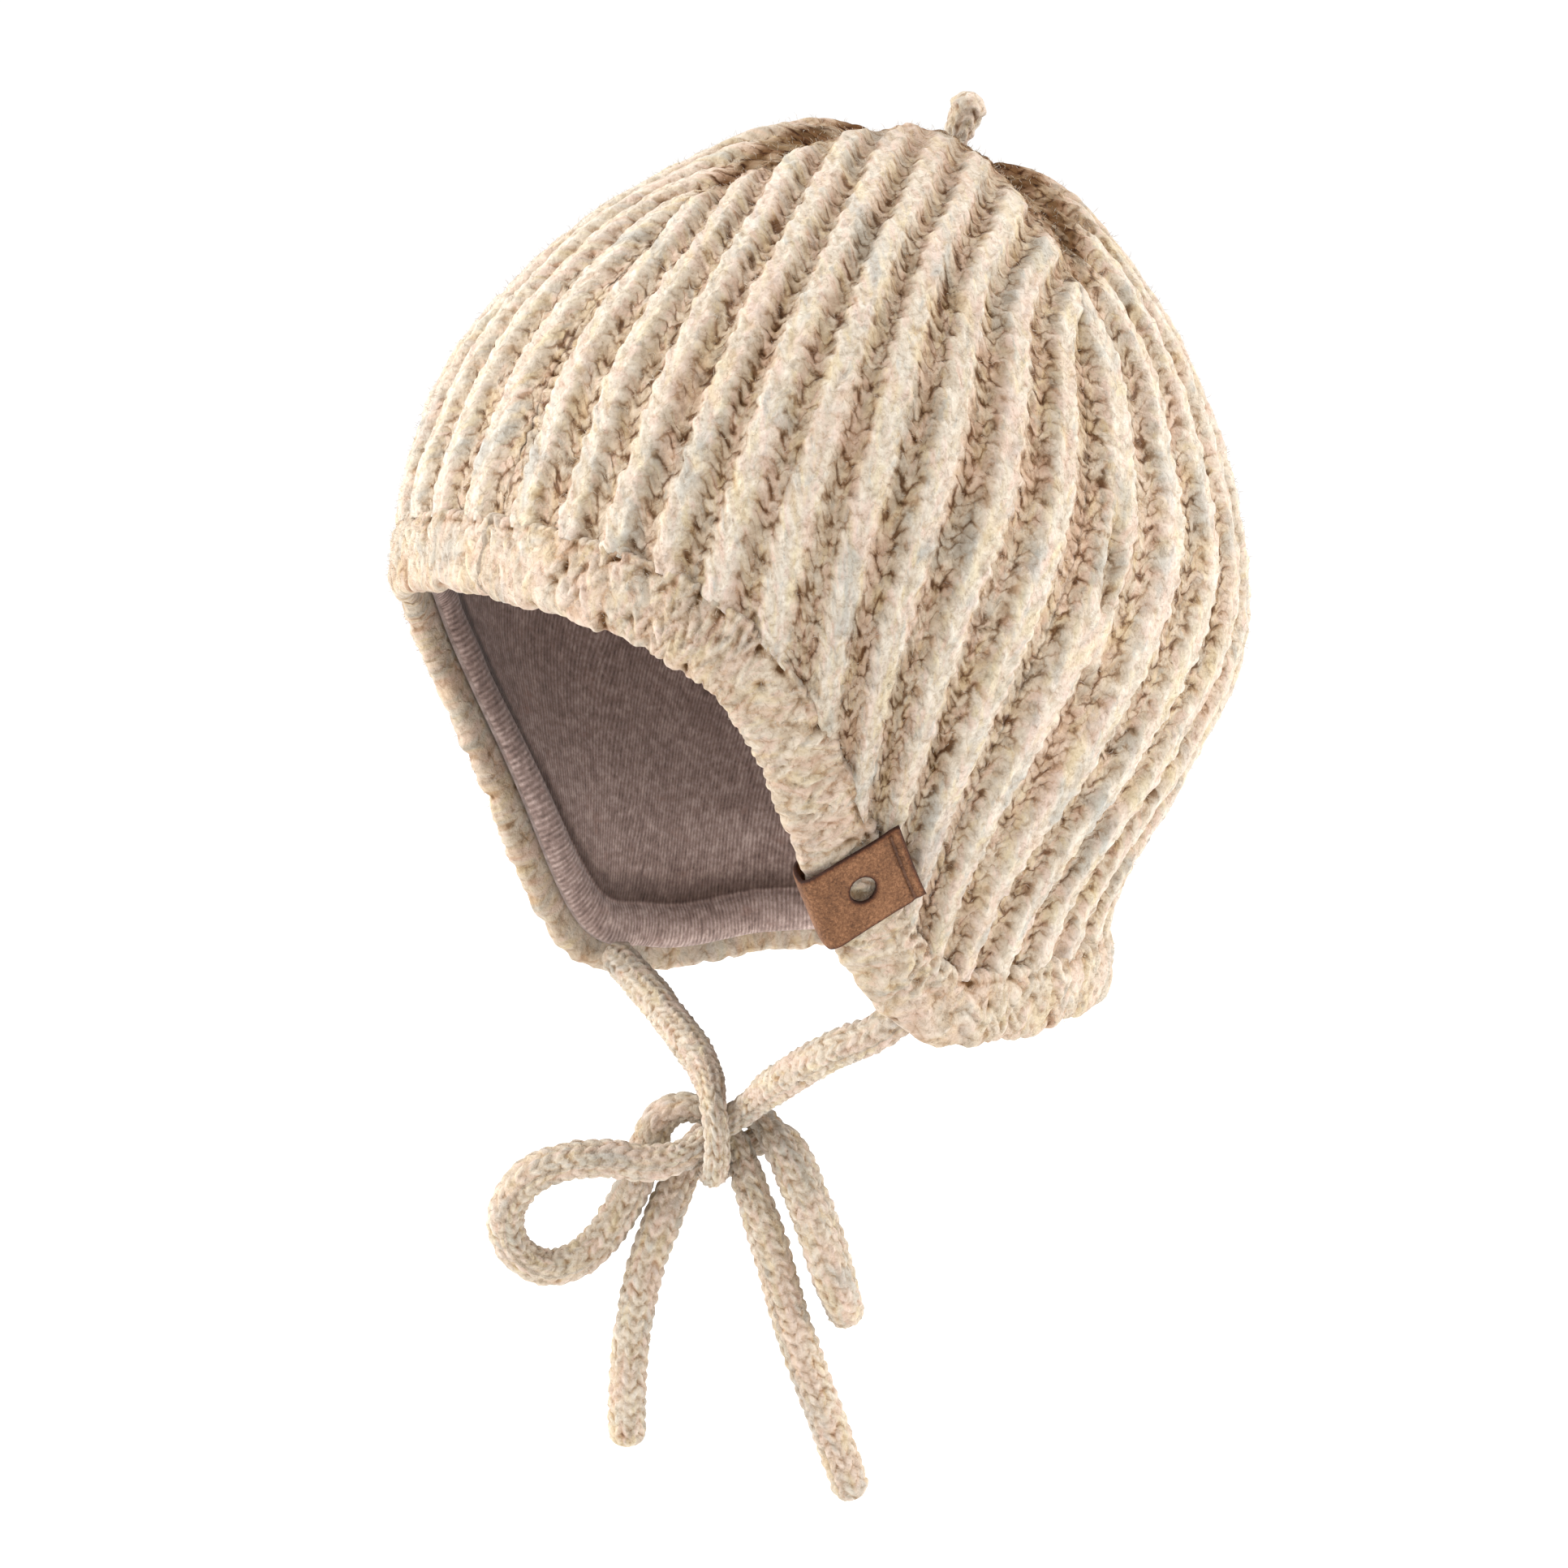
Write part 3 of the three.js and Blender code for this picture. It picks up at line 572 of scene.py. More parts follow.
def jersey_material():
    """Fine jersey: wales a millimetre apart, mixed fibres and a few reddish flecks."""
    n = Nodes("jersey")
    place = n.add("ShaderNodeTexCoord").outputs["Object"]
    knit = n.attribute("knit").outputs["Vector"]
    lift = n.attribute("lift").outputs["Fac"]
    wobble = n.noise(n.vector("MULTIPLY", knit, (0.25, 0.06, 1)), 1.0, 2, 0.5)
    parts = n.add("ShaderNodeSeparateXYZ", {0: knit})
    slant = n.math("MULTIPLY_ADD", parts.outputs[1], 0.07, parts.outputs[0])
    wale = n.math("MULTIPLY_ADD", wobble, 1.1, slant)
    wave = n.math("SINE", n.math("MULTIPLY", wale, 2 * math.pi))
    broken = n.noise(n.vector("MULTIPLY", knit, (1.0, 0.7, 1)), 0.9, 3, 0.6)
    wave = n.math("MULTIPLY", wave, share_ramp(n, broken, 0.25, 0.75))
    mottle = n.noise(place, 520, 4, 0.7)
    cloud = n.noise(place, 60, 2, 0.5)
    flecks = n.noise(place, 150, 3, 0.55)
    tone = n.math("MULTIPLY_ADD", wave, 0.17, n.centred(mottle, 0.85, 0.5))
    colour = n.ramp(n.centred(cloud, 0.18, tone), JERSEY_TONES)
    share = n.math("MULTIPLY", share_ramp(n, flecks, 0.60, 0.74), 0.30)
    colour = n.mix("MIX", share, colour, linear(JERSEY_FLECK))
    # painted shade from the points' lift
    colour = n.mix("MULTIPLY", 1.0, colour, n.ramp(lift, JERSEY_SHADE))
    height = n.math("MULTIPLY_ADD", wave, 0.33, n.math("MULTIPLY", mottle, 0.7))
    return n.surface(colour, height, 0.6, 0.3 * MM, {
        "Roughness": 0.92, "Specular IOR Level": 0.15, "Sheen Weight": 0.25, "Sheen Roughness": 0.5,
    })


SINGED_AND_GROOVE_SHADE = [(0.0, (112, 84, 68)), (0.45, (214, 196, 184)), (0.9, (255, 255, 255))]


def leatherette_material(name, tones):
    """Soft brown board with a mottled grain; lift is 0 along the singed edges and low in the
    stitching's groove, where shade is painted.
    """
    n = Nodes(name)
    place = n.add("ShaderNodeTexCoord").outputs["Object"]
    lift = n.attribute("lift").outputs["Fac"]
    grain = n.noise(place, 1700, 4, 0.75)
    pores = n.noise(place, 3600, 2, 0.6)
    cloud = n.noise(place, 200, 2, 0.5)
    colour = n.ramp(n.centred(pores, 0.35, n.centred(cloud, 0.35, grain)), tones)
    colour = n.mix("MULTIPLY", 1.0, colour, n.ramp(lift, SINGED_AND_GROOVE_SHADE))
    height = n.math("MULTIPLY_ADD", pores, 0.5, grain)
    return n.surface(colour, height, 0.5, 0.2 * MM, {"Roughness": 0.75, "Specular IOR Level": 0.25})


WOOL = yarn_material("wool", 0.0, 1.0)
BAND_WOOL = yarn_material("band_wool", 3.1, 0.55)
TIE_WOOL = yarn_material("tie_wool", 7.7, 0.65)
JERSEY = jersey_material()
BROWN = [(0.28, (76, 48, 30)), (0.50, (114, 77, 51)), (0.74, (152, 108, 76))]
DARK_BROWN = [(0.30, (60, 38, 26)), (0.50, (84, 56, 40)), (0.72, (108, 74, 54))]
LEATHERETTE = leatherette_material("leatherette", BROWN)
THREAD = leatherette_material("thread", DARK_BROWN)


# Knit relief, in millimetres, for a place across the ribs and down the rows

def row_bump(phase):
    """0 between two stitches and 1 on one; steeper at its upper end."""
    part = phase - np.floor(phase)
    return np.clip(2.05 * part ** 0.5 * (1 - part) ** 0.85, 0, 1)


def from_crest(place):
    """Signed distance from the middle of the nearest crest, as a share of a rib's width."""
    return place - np.floor(place) - 0.5


def rib_shares(place):
    """Share of the way across half a crest, and then from there to a groove's middle."""
    away = np.abs(from_crest(place))
    groove = (away - CREST_HALF) / (0.5 - CREST_HALF)
    return np.clip(away / CREST_HALF, 0, 1), np.clip(groove, 0, 1)


def yarn_phase(place, row):
    """Rows, shifted so that equal values follow the yarn up a leg and over a purl bar."""
    leg, groove = rib_shares(place)
    return row + LEG_CLIMB * LEG_ROWS * leg - PURL_DIP * smooth(groove)


def loop_rows(place, row, flat):
    """Rows for the shader's small loops, which follow the yarn less steeply."""
    leg, groove = rib_shares(place)
    return row + (LOOP_CLIMB * leg - LOOP_DIP * smooth(groove)) * (1 - flat)


def yarn_gap(phase):
    """1 on the thin line between two stitches and 0 elsewhere."""
    return np.exp(-((phase - np.round(phase)) / 0.2) ** 2)


def rib_wave(place, row, width):
    """1 on a rib's flat crest, whose sides follow its stitches, and 0 in the groove."""
    edge = CREST_FLAT + 0.07 * row_bump(row) + 0.07 * (1 - width)
    return 1 - smooth((np.abs(from_crest(place)) - edge) / CREST_SIDE)


def yarn_strands(across, along, seed):
    """Lumps that lie along the yarn, from -1 to 1; both places are millimetres."""
    return noise(np.stack([across / 3.6, along / 2.6, np.zeros_like(across)], -1), 1, seed)


def knit_places(across, along):
    """Places on the yarn in millimetres, for the shader."""
    return np.stack([across, along, np.zeros_like(across)], -1).reshape(-1, 3)


def rib_relief(place, row):
    """Stitches of one rib, slanting legs on the crest and purl bars between, and the gaps."""
    t, g = rib_shares(place)
    stitch = row / LEG_ROWS + LEG_CLIMB * t
    bar = row - PURL_DIP * smooth(g)
    leg = np.clip(0.15 + 0.85 * (1 - np.abs(2 * t - 1.05) ** 2.4), 0, 1)
    groove = smooth(g * 2)
    legs = LEG_RELIEF * leg * row_bump(stitch) * (1 - groove)
    bars = PURL_RELIEF * row_bump(bar) * groove
    gaps = 0.3 * yarn_gap(stitch) * leg * (1 - groove)
    gaps = gaps + yarn_gap(bar) * smooth((g - 0.25) / 0.6)
    return legs + bars, gaps


# Short bent hairs that stand off the brushed wool

def surface_spots(points, count, rng):
    """Random spots on a grid of points, even over its area, with their outward directions."""
    down = points[1:, :-1] - points[:-1, :-1]
    round_way = points[:-1, 1:] - points[:-1, :-1]
    way = np.cross(down, round_way)
    area = np.linalg.norm(way, axis=-1).ravel()
    cell = rng.choice(len(area), count, p=area / area.sum())
    row, column = np.divmod(cell, points.shape[1] - 1)
    r, c = rng.random((2, count, 1))
    spots = points[row, column] + down[row, column] * r + round_way[row, column] * c
    return spots, unit(way[row, column]), row, column


def make_hairs(name, points, count, seed, material, slot_name, longest=2.0):
    """Closed slivers of six faces, rooted in the wool and bent in the middle."""
    rng = np.random.default_rng(seed)
    root, out, row, column = surface_spots(points, count, rng)
    aside = rng.normal(size=(count, 3))
    bent = rng.normal(size=(count, 3))
    length = HAIR_SHORTEST + (longest - HAIR_SHORTEST) * rng.random((count, 1)) ** 1.8
    way = unit(out * rng.uniform(0.3, 1.0, (count, 1)) + unit(aside) * 0.8)
    turned = unit(way + 0.75 * unit(bent))
    start = root - out * HAIR_DEEP
    middle = start + way * (length * 0.5 + HAIR_DEEP)
    tip = middle + turned * length * 0.5
    side = unit(np.cross(way, bent))
    up = np.cross(way, side)
    rings = [
        middle + (side * math.cos(turn) + up * math.sin(turn)) * HAIR_THICKNESS
        for turn in (0, 2 * math.pi / 3, 4 * math.pi / 3)
    ]
    corners = np.stack([start, *rings, tip], 1)
    faces = np.array([(0, 2, 1), (0, 3, 2), (0, 1, 3), (4, 1, 2), (4, 2, 3), (4, 3, 1)])
    triangles = (faces[None] + 5 * np.arange(count)[:, None, None]).reshape(-1, 3)
    knit = np.repeat(np.stack([row, column, 0 * row], -1) * 0.05, 5, axis=0)
    looks = {"lift": np.full(5 * count, 0.9), "knit": knit}
    piece = make_mesh(name, corners.reshape(-1, 3), [], triangles, looks)
    finish_piece(piece, material, slot_name)


# Crown, in the four quarters between its creases. How uneven its knit is comes from
# layers of noise, by their amount, the size of their bumps in millimetres, and seed.

RIB_DRIFT = [(0.05, 17, 1), (0.03, 6, 5)]      # in ribs
ROW_DRIFT = [(0.5, 22, 2), (0.2, 5, 6)]        # in rows
LOOSENESS = [(0.5, 4.5, 9), (0.6, 2.2, 17)]    # of the gaps
FELTING = [(0.5, 20, 7)]                       # of the stitches' relief
SWELL = [(0.35, 12, 8)]                        # of the whole wall


def quarter_grid(number):
    """Turns, angles and places down of a quarter's points, spread evenly between its creases."""
    part = np.linspace(0.012, 1, CROWN_ROWS + 1)[:, None]
    ends = np.array([number, number + 1]) * math.pi / 2
    first, last = np.split(column_place(ends[None], part)[0], 2, axis=1)
    spread = np.linspace(0, 1, RIBS // 4 * COLUMNS_PER_RIB + 1)
    angle = first + (last - first) * spread
    known = np.linspace(*ends, 121)[None]
    known_angle = column_place(known, part)[0]
    turn = np.array([
        np.interp(wanted, reached, known[0]) for wanted, reached in zip(angle, known_angle)
    ])
    return turn, part + np.zeros_like(turn), angle, part * edge_along(angle)


def ribs_at(place, row, width, doubled):
    """Wave, relief and gaps of the ribs, which split in two where doubled is 1."""
    layers = []
    for times in (1, 2):
        relief, gaps = rib_relief(times * place, row)
        layers.append(np.array([rib_wave(times * place, row, width), relief, gaps]))
    return layers[0] * (1 - doubled) + layers[1] * doubled


def quarter_surface(number, part, angle, along):
    """The crown's inner face, its outward ways, and how far back of the hat's side points lie."""
    base = skin_point(angle, along)
    to_edge = smooth((part - 0.93) / 0.07)[..., None]
    normal = unit(skin_normal(angle, along) * (1 - to_edge) + edge_frame(angle[-1])[1][None] * to_edge)
    from_side = lengths_along(base, 1)
    if number in (0, 2):
        from_side = from_side[:, -1:] - from_side
    return base, normal, from_side if number in (1, 2) else -from_side


def quarter_ribs(number, turn, part, along, base, across):
    """Places across the ribs and down the rows, how ribs narrow at the top, and where they split."""
    top = skin_point(0.0, 0.0)
    radius = np.hypot(base[..., 0] - top[0], base[..., 1] - top[1])
    middle = (number + 0.5) * math.pi / 2
    narrowing = np.minimum(1, radius / GATHER_RADIUS) ** GATHER_POWER
    narrowing = narrowing + (1 - narrowing) * smooth((along - 0.28) / 0.16)
    pitch = np.abs(np.gradient(across, axis=1) / np.gradient(turn, axis=1)) * 2 * math.pi / RIBS
    doubled = smooth((pitch / narrowing / RIB_WIDTH - 1.45) / 0.4)
    place = (middle + (turn - middle) * narrowing) * RIBS / (2 * math.pi)
    share = turn / (math.pi / 2) - number
    inside_quarter = smooth(8 * share * (1 - share))
    place = place + noises(base, RIB_DRIFT) * smooth((part - 0.05) / 0.2) * inside_quarter
    row = noises(base, ROW_DRIFT, lengths_along(base, 0) / STITCH_ROW)
    place = place + ZIGZAG * np.sin(math.pi * row) * inside_quarter
    return place, row, narrowing, doubled


def crown_quarter(number):
    """Outer face of a quarter of the crown, its inner face and what the shader reads."""
    turn, part, angle, along = quarter_grid(number)
    base, normal, across = quarter_surface(number, part, angle, along)
    place, row, narrowing, doubled = quarter_ribs(number, turn, part, along, base, across)
    crease = crease_shade(angle, along)
    fade = 0.3 + 0.7 * smooth(along / 0.26 - 0.1)
    fade = fade * smooth(along / 0.06 - 0.2)
    wave, relief, gaps = ribs_at(place, row, narrowing, doubled)
    wave = wave * fade * (1 - 0.8 * crease)
    felt = noises(base, FELTING, 0.8) * (0.3 + 0.7 * smooth(along / 0.4 - 0.2))
    gaps = gaps * np.clip(noises(base, LOOSENESS, 0.65), 0.1, 1.2) * (0.4 + 0.6 * fade)
    relief = (relief - GAP_DEPTH * gaps) * felt
    strands = yarn_strands(yarn_phase(place, row) * STITCH_ROW, across, 10)
    soft = (0.24 + 0.14 * crease) * strands
    soft = soft + (0.24 + 0.3 * crease) * noise(base, 2.6, 3) + 0.14 * noise(base, 1.6, 4)
    height = WALL_FLOOR + WALL_RISE * wave + relief + soft + noises(base, SWELL)
    height = height - 0.3 * smooth((part - 0.985) / 0.015)
    outer = base + normal * height[..., None]
    # painted shade: lift is low in the grooves and the gaps between stitches and high on the crests
    lift = 0.26 + 0.48 * wave + 0.2 * relief + 0.32 * soft + 0.08 * noise(base, 17, 1) - 0.13 * gaps
    # felted top: its stitches show less, and painted shade darkens its crests
    felted_and_shaded_top = smooth((0.30 - along) / 0.22)
    lift = lift * (1 - 0.5 * felted_and_shaded_top) + 0.18 * felted_and_shaded_top
    # painted shade on the creases' walls, darkest deep in them, with a little random tone
    lift = lift * (1 - 0.9 * crease) + crease * (0.01 + 0.14 * noise(base, 2.4, 31))
    looks = {
        "lift": lift.ravel(),
        "felted_and_shaded_top": (felted_and_shaded_top * (1 - crease)).ravel(),
        "knit": knit_places(loop_rows(place, row, crease) * STITCH_ROW, across),
    }
    return outer, base, looks


SHADE_END = 0.42                     # on the way down, where the creases' shade ends
SHADE_HALF_WIDTH = 17


def crease_shade(angle, along):
    """1 deep in one of the creases at the top and 0 outside them."""
    loop = read_table(LOOP_NAMES, LOOPS, along)
    s, c = np.sin(angle), np.cos(angle)
    across = np.minimum(np.abs(loop["half_x"] * s), np.abs(loop["back"] * c))
    fade = smooth((SHADE_END - along) / 0.2) * smooth(along / CREASE_START)
    half_width = SHADE_HALF_WIDTH * (1 - np.minimum(1, along / SHADE_END) ** 1.5)
    return smooth((half_width - across) / 6) * fade


def sheet_solid(name, outer, inner, looks):
    """Closed piece between a fine outer grid and a coarser inner one."""
    rows, columns = outer.shape[:2]
    in_rows, in_columns = inner.shape[:2]
    first = rows * columns
    index = np.arange(first).reshape(rows, columns)
    back = first + np.arange(in_rows * in_columns).reshape(in_rows, in_columns)
    quads = np.concatenate([
        grid_quads(rows, columns),
        grid_quads(in_rows, in_columns, first, flip=True),
    ])
    triangles = np.concatenate([
        zip_lines(index[0], back[0], flip=True),
        zip_lines(index[-1], back[-1]),
        zip_lines(index[:, 0], back[:, 0]),
        zip_lines(index[:, -1], back[:, -1], flip=True),
    ])
    points = np.concatenate([outer.reshape(-1, 3), inner.reshape(-1, 3)])
    extra = in_rows * in_columns
    padded = {
        key: np.concatenate([values, np.zeros((extra, *values.shape[1:]))])
        for key, values in looks.items()
    }
    return make_mesh(name, points, quads, triangles, padded)


QUARTER_NAMES = ("crown_front_left", "crown_back_left", "crown_back_right", "crown_front_right")
CROWN_HAIRS = 6000
HAIRLESS_ROWS = 30                   # at the top
INNER_ROWS = 20
INNER_COLUMNS_PER_RIB = 2


def make_crown():
    for number, name in enumerate(QUARTER_NAMES):
        outer, base, looks = crown_quarter(number)
        inner = base[::CROWN_ROWS // INNER_ROWS, ::COLUMNS_PER_RIB // INNER_COLUMNS_PER_RIB]
        piece = sheet_solid(name, outer, inner, looks)
        finish_piece(piece, WOOL, "wool_knit", "crown")
        hairs = name.replace("crown", "hairs")
        make_hairs(hairs, outer[HAIRLESS_ROWS:], CROWN_HAIRS, 60 + number, WOOL, "wool_knit")


make_crown()


# Edge band: stitches laid across the edge, scalloped below

BAND_SHAPE_NAMES = ("around", "across", "out")
BAND_SHAPE = [
    # around: place round the section, across: over the band, out: from the crown's inner face
    (0.00, -0.8, 0.4),
    (0.07, -1.3, 2.4),
    (0.13, -1.1, 4.2),
    (0.21, 0.8, 5.1),
    (0.32, 4.2, 5.6),
    (0.48, 8.8, 5.6),
    (0.60, 12.2, 4.9),
    (0.69, 13.9, 3.1),
    (0.75, 13.5, 1.1),
    (0.86, 9.0, 0.05),
    (1.00, 3.0, 0.1),
]
BAND_AROUND = np.concatenate([np.linspace(0, 0.74, 40), np.linspace(0.78, 1, 7)])
BAND_ROW = 4.6
BAND_HAIRS = 6500
BAND_ROW_DRIFT = [(0.45, 17, 12), (0.25, 5, 19)]


def edge_turns(count):
    """Angles evenly spaced along the edge, and the edge's length."""
    angle = np.linspace(0, 2 * math.pi, 1441)
    at = skin_point(angle, edge_along(angle))
    length = lengths_along(at, 0)
    places = np.linspace(0, length[-1], count, endpoint=False)
    return np.interp(places, length, angle), places, length[-1]


def make_band():
    length = edge_turns(10)[2]
    stitches = round(length / BAND_STITCH)
    count = stitches * BAND_STEPS_PER_STITCH
    angle, places, length = edge_turns(count)
    at, out, across = edge_frame(angle)
    shape = read_table(BAND_SHAPE_NAMES, BAND_SHAPE, BAND_AROUND)
    over = shape["across"][:, None] + np.zeros(count)
    rise = shape["out"][:, None] + np.zeros(count)
    point = at[None] + across[None] * over[..., None] + out[None] * rise[..., None]
    wobble = noise(point, 11, 11)
    place = (places / length * stitches)[None] + 0.3 * wobble + 0.16 * noise(point, 4, 18)
    row = noises(point, BAND_ROW_DRIFT, over / BAND_ROW)
    outside = smooth((rise - 0.4) / 2.4)
    t = np.clip(np.abs(from_crest(place)) / 0.5, 0, 1)
    phase = row + 1.1 * t
    leg = np.clip(0.1 + 0.9 * (1 - np.abs(2 * t - 1.0) ** 2.2), 0, 1)
    felt = 0.85 + 0.9 * noise(point, 6, 20)
    low_edge = smooth((over - 8.5) / 4.5)
    legs = (0.66 * (0.3 + 0.7 * leg) * row_bump(phase) - 0.3 * yarn_gap(phase)) * felt
    legs = legs * (1 - 0.65 * low_edge)
    ridge = (1 - t ** 2) * (0.6 + 0.6 * noise(point, 7, 22)) * (1 - 0.5 * low_edge)
    strands = yarn_strands(phase * BAND_ROW, place * BAND_STITCH, 15)
    soft = 0.36 * strands + 0.26 * noise(point, 2.6, 13) + 0.16 * noise(point, 1.6, 14)
    swell = 0.5 * noise(point, 9, 15)
    gaps = np.clip(noise(point, 2.8, 21) - 0.2, 0, 1) * (0.2 + 0.8 * t)
    relief = (legs + 0.22 * ridge + soft + swell - 1.3 * gaps - 0.25) * outside
    seam = (0.3 + 0.5 * noise(point, 5, 16)) * np.exp(-((over - 0.2) / 0.8) ** 2) * outside
    scallop = (0.45 * (1 - t ** 2) - 0.25 + 0.6 * noise(point, 7, 17)) * low_edge
    section_out = np.gradient(over, axis=0)
    section_over = -np.gradient(rise, axis=0)
    size = np.hypot(section_out, section_over) + 1e-9
    way = across[None] * (section_over / size)[..., None]
    way = way + out[None] * (section_out / size)[..., None]
    point = point + way * (relief - seam)[..., None] + across[None] * scallop[..., None]
    # painted shade: lift is low in the gaps between stitches
    lift = 0.48 + 0.36 * (legs - 0.2) + 0.14 * ridge + 0.10 * wobble + 0.15 * soft - 0.8 * gaps
    # painted shade along the seam's groove, where the band meets the crown
    lift = lift - (0.26 + 0.3 * wobble) * np.exp(-((over - 0.1) / 0.7) ** 2)
    rows = len(BAND_AROUND)
    ring = np.arange(count)
    closing = ring_quads((rows - 1) * count + ring, ring)
    looks = {
        "lift": lift.ravel(),
        "knit": knit_places((row + 0.35 * t) * BAND_ROW, place * BAND_STITCH),
    }
    faces = np.concatenate([grid_quads(rows, count, wrap=True), closing])
    piece = make_mesh("edge_band_knit", point.reshape(-1, 3), faces, [], looks)
    finish_piece(piece, BAND_WOOL, "band_knit", "edge_band")
    make_hairs("hairs_band", point[4:34], BAND_HAIRS, 70, BAND_WOOL, "band_knit", 1.8)


make_band()


# Lining with its padded hem

LINING_DEPTH = 0.4
LINING_WALL = 1.0
LINING_SLACK = 0.7
LINING_COLUMNS = 240
LINING_ROWS = 91
FAR_ROW_STEP = 5                     # the side that the crown covers has fewer rows
FAR_HEM_STEP = 4
WALE = 0.9                           # width of one fine wale
WALES_RADIUS = 68                    # of the level at which the wales have that width
HEM_NAMES = ("step", "across", "out", "wall")
LINING_HEM = [
    (0.0, 0.0, -1.1, 1.0),
    (1.0, 0.9, -1.0, 1.2),
    (2.0, 2.0, -0.7, 2.2),
    (3.4, 4.9, -0.5, 3.1),
    (4.8, 8.1, -0.5, 2.6),
    (5.6, 9.1, -0.9, 1.5),
    (6.0, 9.4, -1.2, 0.8),
]
HEM_STEPS = 21
HEM_END = LINING_HEM[-1][0]
HEM_LINE = [0.85, 0.55, 0.2, 0.0, 0.15, 0.45, 0.75, 0.95]    # lift across the hem's seam, painted shade in its fold
DARK_FROM = -122                     # painted shadow: the lining darkens from this height up
DARK_OVER = 30


def make_lining():
    turn = np.linspace(0, 2 * math.pi, LINING_COLUMNS, endpoint=False)
    part = np.linspace(0.02, 1, LINING_ROWS)
    turns, parts = np.meshgrid(turn, part)
    angle, along = column_place(turns, parts)
    base = skin_point(angle, along)
    normal = skin_normal(angle, along)
    slack = LINING_SLACK * smooth((parts - 0.6) / 0.4)
    far = base - normal * (LINING_DEPTH + slack)[..., None]
    near = far - normal * LINING_WALL
    near = near - normal * (0.4 * noise(base, 30, 21) + 0.14 * noise(base, 11, 22))[..., None]
    steps = np.linspace(0.0, HEM_END, HEM_STEPS)
    hem = read_table(HEM_NAMES, LINING_HEM, steps)
    at, out, across = edge_frame(angle[-1])
    over = hem["across"][:, None]
    depth = hem["out"][:, None]
    tucks = np.clip(noise(at, 8, 23), -0.2, 1)[None] * np.sin(np.pi * steps / HEM_END)[:, None]
    wall = hem["wall"][:, None] * (1 + 0.22 * tucks)
    hem_far = at[None] + across[None] * over[..., None] + out[None] * depth[..., None]
    hem_near = hem_far - out[None] * wall[..., None]
    rows_far = np.concatenate([far[:-1:FAR_ROW_STEP], hem_far[::FAR_HEM_STEP]])
    rows_near = np.concatenate([near[:-1], hem_near])
    rows, far_rows, count = len(rows_near), len(rows_far), LINING_COLUMNS
    first = far_rows * count
    tip = (far_rows + rows) * count
    ring = np.arange(count)
    quads = np.concatenate([
        grid_quads(far_rows, count, wrap=True),
        grid_quads(rows, count, first, wrap=True, flip=True),
        ring_quads(first - count + ring, tip - count + ring),
    ])
    triangles = np.concatenate([fan(tip, ring), fan(tip + 1, first + ring, flip=True)])
    top = skin_point(0.0, 0.0)
    ends = np.array([top - [0, 0, LINING_DEPTH], top - [0, 0, LINING_DEPTH + LINING_WALL]])
    points = np.concatenate([rows_far.reshape(-1, 3), rows_near.reshape(-1, 3), ends])
    down = lengths_along(rows_near, 0)
    from_back = np.minimum(turn, 2 * math.pi - turn)
    wale = from_back[None] * WALES_RADIUS / WALE + np.zeros_like(down)
    knit = np.stack([wale, down / WALE, np.zeros_like(down)], -1).reshape(-1, 3)
    hem_line = np.full(rows, 1.0)
    crease = LINING_ROWS - len(HEM_LINE) // 2
    hem_line[crease:crease + len(HEM_LINE)] = HEM_LINE
    # painted shade in the hem's fold and, from DARK_FROM up, painted shadow deeper inside the hat
    lift = hem_line[:, None] - 0.25 * np.clip(noise(rows_near, 9, 24), 0, 1)
    lift = (lift - 0.4 * smooth((rows_near[..., 2] - DARK_FROM) / DARK_OVER)).ravel()
    looks = {
        "lift": np.concatenate([np.ones(first), lift, [1, 1]]),
        "knit": np.concatenate([np.zeros((first, 3)), knit, np.zeros((2, 3))]),
    }
    piece = make_mesh("lining_jersey", points, quads, triangles, looks)
    finish_piece(piece, JERSEY, "jersey", "lining")


make_lining()


# Ties and stub: knitted cords

def curve_points(places, shares):
    """Centripetal curve through places, read at shares from 0 to 1."""
    places = np.asarray(places, float)
    last = len(places) - 1
    before = 2 * places[0] - places[1]
    after = 2 * places[-1] - places[-2]
    line = np.concatenate([[before], places, [after]])
    exact = np.clip(np.asarray(shares) * last, 0, last)
    low = np.minimum(last - 1, np.floor(exact).astype(int))
    t = (exact - low)[:, None]
    p0, p1, p2, p3 = (line[low + k] for k in range(4))
    d0, d1, d2 = (np.linalg.norm(b - a, axis=-1)[:, None] ** 0.5
                  for a, b in ((p0, p1), (p1, p2), (p2, p3)))
    t1 = ((p1 - p0) / d0 - (p2 - p0) / (d0 + d1) + (p2 - p1) / d1) * d1
    t2 = ((p2 - p1) / d1 - (p3 - p1) / (d1 + d2) + (p3 - p2) / d2) * d1
    return (
        p1 + t1 * t + (-3 * p1 + 3 * p2 - 2 * t1 - t2) * t ** 2
        + (2 * p1 - 2 * p2 + t1 + t2) * t ** 3
    )


def cord_line(places, radii, spacing):
    """Evenly spaced centreline with its radii."""
    shares = np.linspace(0, 1, 2400)
    fine = curve_points(places, shares)
    length = lengths_along(fine, 0)
    count = max(8, int(length[-1] / spacing))
    want = np.linspace(0, length[-1], count)
    share = np.interp(want, length, shares)
    exact = share * (len(radii) - 1)
    low = np.minimum(len(radii) - 2, np.floor(exact).astype(int))
    part = smooth(exact - low)
    radii = np.asarray(radii, float)
    radius = radii[low] + (radii[low + 1] - radii[low]) * part
    return curve_points(places, share), radius, want


